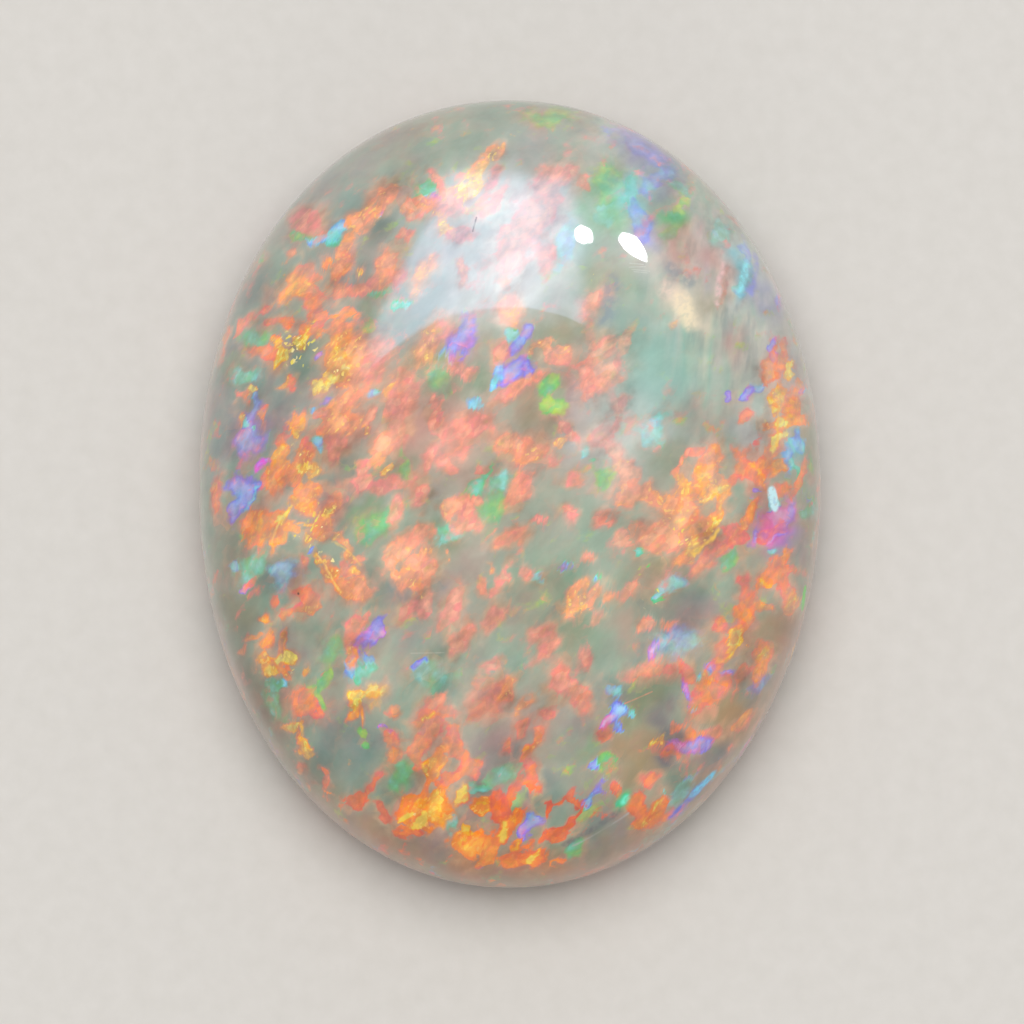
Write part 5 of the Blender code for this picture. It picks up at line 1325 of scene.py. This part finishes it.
# %% Glints and glitter
GOLD_GLINT = paint(255, 226, 120)
GLINT_CELLS = 24.0               # per mm
GLITTER_COLOURS = ((0.0, (255, 242, 186)), (0.5, (255, 224, 92)), (1.0, (232, 228, 104)))
GLITTER_CELLS = 22.0
glint = stretch(cells(stirred, GLINT_CELLS)[0], 0.86, 0.95) * stretch(warm_inside, 0.02, 0.20)
glint = glint * stretch(laid_tone, 0.25, 0.75) * (1 - warm_depth) * (1 - clear * 0.5)
layer = mixed(glint * 0.80, layer, GOLD_GLINT)
sparks = cells(stirred, GLITTER_CELLS)
spark = stretch(sparks[0] + attribute(tree, "glitter") * 0.30, 1.10, 1.16)
layer = mixed(spark * 0.85, layer, ramp(sparks[1], GLITTER_COLOURS))
print("glints", GLINT_CELLS, "and glitter", GLITTER_CELLS, "cells per mm")

# %% [markdown]
# ## Small marks
# A handled stone isn't quite clean: a hair-thin fibre and a dark speck lie on it, a grey seam crosses
# the near edge, and the polish left faint ripples, drawn pale as painted sheen of the small lamp
# beside them. Each is a short straight line, and a place is inside it when its distance from the line
# is small. Some colour lies in thin lines too. Those are read at places that noise has moved a little,
# so they sway.

# %% A mark along a line
UNSEEN_BELOW = 0.05              # skin whose normal points up less than this isn't in the picture
OUT_OF_REACH = 9.0               # mm, added to the distance of such skin
SHORTEST = 0.001                 # mm, the length of a dot, so that nothing is divided by zero


def on_skin(across_mm, up_mm):
    """The place of the skin, in mm, that the camera sees there."""
    unseen = normals[:, 2] < UNSEEN_BELOW
    away = np.hypot(across - across_mm, up - up_mm) + OUT_OF_REACH * unseen
    return skin_points[int(np.argmin(away))] / MM


def measured(operation, first, second):
    """The one number that some Vector Math nodes give."""
    made = node(tree, "ShaderNodeVectorMath", {0: first, 1: second}, operation=operation)
    return out(made, "Value")


def line_mark(where, start, end, half_width, soft, strength):
    """The strength along a short straight line over the skin, falling to 0 beside it."""
    first, last = on_skin(*start), on_skin(*end)
    length = max(float(np.linalg.norm(last - first)), SHORTEST)
    way = tuple(float(share) for share in (last - first) / length)
    offset = vector_formula("SUBTRACT", where, tuple(float(number) for number in first))
    along = measured("DOT_PRODUCT", offset, way)
    beside = measured("DISTANCE", offset, scaled(way, stretch(along, 0, length, 0, length)))
    return stretch(beside, half_width, half_width + soft, strength, 0.0, smooth=True)


print("a dot is", SHORTEST, "mm long")

# %% The lines
SWAYING_LINES = (   # start, end, half width, soft edge, colour, strength
    ((3.34, -6.52), (3.92, -5.92), 0.02, 0.17, (96, 104, 226), 1.00),         # a long violet streak
    ((3.70, -6.12), (4.12, -5.70), 0.010, 0.16, (98, 214, 255), 1.25),        # and its blue end
    ((4.78, 4.74), (4.68, 4.06), 0.010, 0.12, (150, 238, 250), 0.95),         # a cyan streak in the silk
    ((4.98, 4.90), (4.86, 4.10), 0.010, 0.14, (140, 146, 236), 0.60),         # its violet side
    ((4.32, 4.62), (4.22, 3.86), 0.010, 0.12, (246, 204, 202), 0.70),         # a pink streak beside it
    ((3.18, 4.16), (3.42, 4.02), 0.020, 0.30, (240, 214, 196), 0.62),         # a cream patch
    ((3.48, 3.94), (3.66, 3.52), 0.030, 0.28, (250, 232, 196), 0.80),
    ((2.10, 4.30), (1.95, 3.55), 0.030, 0.26, (118, 142, 160), 0.50),         # slate shadows in the silk
    ((3.22, 4.58), (3.66, 4.32), 0.030, 0.24, (112, 136, 150), 0.48),
    ((-3.93, -1.22), (-3.43, -2.01), 0.002, 0.050, (255, 214, 120), 0.65),    # gold hairs
    ((-3.59, -0.97), (-3.09, -1.42), 0.002, 0.050, (255, 206, 110), 0.50),
    ((-4.59, -0.30), (-4.84, -1.05), 0.002, 0.050, (255, 220, 130), 0.60),
    ((-4.24, -4.66), (-4.18, -5.21), 0.010, 0.070, (255, 190, 70), 0.85),
    ((3.74, -1.21), (4.22, -0.72), 0.006, 0.070, (255, 206, 90), 0.80),
    ((5.49, 1.99), (5.41, 1.02), 0.005, 0.070, (255, 196, 90), 0.80),
)
STRAIGHT_LINES = (
    ((5.96, -2.28), (6.00, -1.98), 0.05, 0.10, (84, 214, 52), 1.70),          # a green dot at the girdle
    ((2.24, -6.36), (2.32, -6.14), 0.01, 0.24, (74, 204, 136), 0.90),         # a green spot
    ((2.30, -6.26), (2.34, -6.18), 0.01, 0.11, (124, 250, 214), 1.00),        # and its bright core
    ((5.34, 0.02), (5.38, -0.20), 0.08, 0.09, (206, 244, 250), 1.50),        # a white flash at the right
    ((-5.02, 0.66), (-5.14, 0.52), 0.02, 0.10, (240, 96, 216), 1.05),         # and a pink one at the left
    ((1.12, -7.12), (2.25, -6.46), 0.02, 0.12, (104, 100, 108), 0.65),        # the dark seam
    ((1.30, -7.14), (2.38, -6.51), 0.002, 0.050, (180, 178, 174), 0.80),      # and its light edge
    ((2.32, -4.27), (2.86, -4.00), 0.002, 0.022, (240, 150, 124), 0.75),      # a thin line of fire
    ((-0.70, 5.62), (-0.73, 5.34), 0.006, 0.020, (84, 76, 72), 0.75),         # the fibre
    ((-4.28, -2.02), (-4.28, -2.02), 0.014, 0.022, (70, 60, 60), 0.90),       # the speck
    ((-2.00, -3.21), (-1.32, -3.26), 0.002, 0.020, (214, 208, 192), 0.25),    # a fine scratch
    # the polish ripples are real, and their pale colour is painted sheen from the lens lamp beside them
    ((2.44, 4.70), (2.72, 4.68), 0.001, 0.018, (204, 208, 196), 0.50),        # ripples left by polishing
    ((2.44, 4.64), (2.78, 4.61), 0.001, 0.018, (204, 208, 196), 0.45),
    ((2.48, 4.57), (2.80, 4.53), 0.001, 0.018, (204, 208, 196), 0.40),
    ((2.50, 4.50), (2.78, 4.46), 0.001, 0.018, (204, 208, 196), 0.35),
)
print(len(SWAYING_LINES), "swaying lines,", len(STRAIGHT_LINES), "straight ones")

# %% Draw the lines
SWAY = 0.3                       # mm
loose = vector_formula("ADD", place, wander(place, 2.2, 3.0, SWAY))
broken = stretch(clouds(grain, 9.0, 2.0), 0.38, 0.56, 0.45, 1.0)
for where, lines in ((loose, SWAYING_LINES), (place, STRAIGHT_LINES)):
    for start, end, half_width, soft, tint, strength in lines:
        mark = line_mark(where, start, end, half_width, soft, strength)
        layer = mixed(mark * broken, layer, paint(*tint))
print("the colours have", len(tree.nodes), "nodes")

# %% [markdown]
# The polish is a clear coat over a softer body: the coat gives the sharp lamps, and the body below
# scatters light. The flat back was only sanded, so it has little coat and a rougher body.

# %% The polished skin
sanded = attribute(tree, "underside")
gloss = node(tree, "ShaderNodeBsdfPrincipled", {
    "Base Color": layer, "Roughness": sanded * 0.25 + 0.32, "Coat Weight": 1 - sanded * 0.8})
gloss.inputs["IOR"].default_value = 1.45
gloss.inputs["Specular IOR Level"].default_value = 0.25
gloss.inputs["Coat Roughness"].default_value = 0.03
gloss.inputs["Coat IOR"].default_value = 1.45
tree.links.new(gloss.outputs[0], node(tree, "ShaderNodeOutputMaterial").inputs["Surface"])
print("the finish has", len(tree.nodes), "nodes")

# %% [markdown]
# ## Light
# A glossy dome is a mirror, and a photographer sees every lamp in it. So each lamp is placed from
# its reflection: the outline that the reflection has on the stone is sent from the camera to the
# skin and bounced off it, and the lamp's panel is hung where those rays arrive. A big window fills
# the far side, two small lamps make the two bright points beside it, and a weak pale sheet gives
# the faint sheen at the upper right.

# %% Lamps placed by their reflections
LAMP_DISTANCE = 350 * MM
NEARLY_A_POINT = 0.001           # the innermost ring of a panel, as a share of its outline
WHITE = (1.0, 1.0, 1.0)
skin_tree = BVHTree.FromPolygons([tuple(point) for point in skin_points],
                                 [tuple(face.vertices) for face in stone.data.polygons])


def ray_through(across_mm, up_mm):
    """The direction from the camera through a place on the stone as it is seen."""
    plane = lens / SENSOR * PICTURE_SIDE
    from_left = across_mm * PIXELS_PER_MM + OVAL_MIDDLE[0] - PICTURE_SIDE / 2
    from_top = OVAL_MIDDLE[1] - up_mm * PIXELS_PER_MM - PICTURE_SIDE / 2
    return (rightward * (from_left / plane) - upward * (from_top / plane) - backward).normalized()


def bounced(across_mm, up_mm, distance):
    """Where the mirror image of a place on the stone comes from, that far from the stone."""
    ray = ray_through(across_mm, up_mm)
    point, facing, _, _ = skin_tree.ray_cast(eye, ray)
    return point + ray.reflect(facing) * distance


def lamp_panel(name, outline, brightness, edge=(1.03, 0.97), distance=LAMP_DISTANCE, tint=WHITE):
    """A glowing sheet that the camera sees only as a reflection with this outline and a soft edge."""
    middle = np.mean(outline, axis=0)
    rings = [middle + (np.array(outline) - middle) * share for share in (*edge, NEARLY_A_POINT)]
    corners = [bounced(*place, distance) for ring in rings for place in ring]
    count = len(outline)
    faces = [(ring * count + i, ring * count + (i + 1) % count, (ring + 1) * count + (i + 1) % count,
              (ring + 1) * count + i) for ring in range(2) for i in range(count)]
    mesh = bpy.data.meshes.new(name)
    mesh.from_pydata(corners, [], faces)
    strength = mesh.attributes.new("strength", "FLOAT", "POINT")
    strength.data.foreach_set("value", [0.0] * count + [brightness] * 2 * count)
    finish = bpy.data.materials.new(name)
    finish.use_nodes = True
    finish.node_tree.nodes.clear()
    power = attribute(finish.node_tree, "strength")
    shine = node(finish.node_tree, "ShaderNodeEmission", {"Color": (*tint, 1.0), "Strength": power})
    end = node(finish.node_tree, "ShaderNodeOutputMaterial")
    finish.node_tree.links.new(shine.outputs[0], end.inputs["Surface"])
    mesh.materials.append(finish)
    panel = bpy.data.objects.new(name, mesh)
    panel.visible_camera = False
    panel.visible_diffuse = False        # it shows in the polish and lights nothing else
    bpy.context.scene.collection.objects.link(panel)


def oval_outline(across_mm, up_mm, half_width, half_height, turn=0.0, count=16):
    places = []
    for step in range(count):
        angle = 2 * math.pi * step / count
        a, b = half_width * math.cos(angle), half_height * math.sin(angle)
        places.append((across_mm + a * math.cos(turn) - b * math.sin(turn),
                       up_mm + a * math.sin(turn) + b * math.cos(turn)))
    return places


WINDOW_OUTLINE = (   # across, up
    (-1.20, 6.58), (-0.60, 6.54), (0.40, 6.47), (1.25, 6.38), (1.42, 5.60), (1.50, 4.60),
    (1.52, 3.45), (1.00, 3.66), (0.40, 3.77), (-0.20, 3.78), (-0.85, 3.70), (-1.42, 3.55),
    (-2.05, 3.18), (-2.72, 2.62), (-2.85, 3.10), (-2.55, 3.90), (-2.05, 4.85), (-1.55, 5.80),
)
LENS_OUTLINE = (
    (2.21, 5.24), (2.29, 5.32), (2.41, 5.31), (2.57, 5.20), (2.70, 5.04), (2.77, 4.86),
    (2.77, 4.76), (2.63, 4.76), (2.46, 4.84), (2.32, 4.97), (2.23, 5.12),
)
WALL_OUTLINE = (
    (2.9, 5.6), (4.1, 5.5), (4.75, 4.6), (4.95, 3.4), (4.7, 2.0), (4.1, 0.9), (3.4, 1.4),
    (3.6, 3.0), (3.3, 4.4),
)
NEAR_LAMP = 300 * MM             # the small lamps hang in front of the window
lamp_panel("window", WINDOW_OUTLINE, 4.4, edge=(1.05, 0.92), tint=(0.78, 0.95, 1.35))
small_outline = oval_outline(1.50, 5.27, 0.20, 0.17, math.radians(-30))
lamp_panel("small lamp", small_outline, 90.0, distance=NEAR_LAMP)
lamp_panel("lens lamp", LENS_OUTLINE, 90.0, distance=NEAR_LAMP)
lamp_panel("pale wall", WALL_OUTLINE, 0.4, edge=(1.12, 0.30), tint=(0.85, 0.95, 1.1))
print("four lamps")

# %% [markdown]
# The panels only show in the polish. Two soft discs light the milk itself: a wide one overhead, a
# little beyond the stone, and a weak warm one on the near side. They stay out of the polish.

# %% Soft lamps for the milk
SOFT_LAMPS = (   # name, width, watts, colour, how far beyond the stone, height
    ("overhead", 500 * MM, 2.2, WHITE, 70 * MM, 500 * MM),
    ("front_fill", 300 * MM, 0.18, (1.0, 0.93, 0.84), -450 * MM, 200 * MM),
)
for name, width, watts, tint, beyond, height in SOFT_LAMPS:
    disc = bpy.data.lights.new(name, "AREA")
    disc.shape = "DISK"
    disc.size = width
    disc.energy = watts
    disc.color = tint
    lamp = bpy.data.objects.new(name, disc)
    lamp.location = (0, beyond, height)
    lamp.rotation_euler = (-math.atan2(beyond, height), 0, 0)
    lamp.visible_glossy = False      # it lights the milk and stays out of the polish
    bpy.context.scene.collection.objects.link(lamp)
    print(name, watts, "W")

# %% [markdown]
# The floor is a plain pale sheet and the world is a soft pale fill, so nothing but the lamps and
# the sheet shows in the polish. The Standard view keeps bright colours as they are.

# %% Floor and fill light
FLOOR_SIDE = 1.2                 # m
CARD_SPECKLE = 2500.0            # blotches per metre
FILL_COLOUR = (0.99, 0.99, 1.0, 1.0)
FILL_STRENGTH = 0.38
bpy.ops.mesh.primitive_plane_add(size=FLOOR_SIDE)
floor = bpy.context.active_object
floor.name = "pale_floor"
card = bpy.data.materials.new("pale card")
card.use_nodes = True
card_gloss = card.node_tree.nodes["Principled BSDF"]
speckle = clouds(out(node(card.node_tree, "ShaderNodeTexCoord"), "Object"), CARD_SPECKLE, 3.0)
card_tint = mixed(speckle, paint(205, 201, 194), paint(214, 210, 204))
card.node_tree.links.new(card_tint.socket, card_gloss.inputs["Base Color"])
card_gloss.inputs["Roughness"].default_value = 0.9
floor.data.materials.append(card)

world = bpy.data.worlds.new("soft fill")
world.use_nodes = True
fill = world.node_tree.nodes["Background"]
fill.inputs["Color"].default_value = FILL_COLOUR
fill.inputs["Strength"].default_value = FILL_STRENGTH
bpy.context.scene.world = world
bpy.context.scene.view_settings.view_transform = "Standard"
print("floor and fill ready")

# %% Finish
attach(stone, "root")
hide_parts("opal_cabochon")
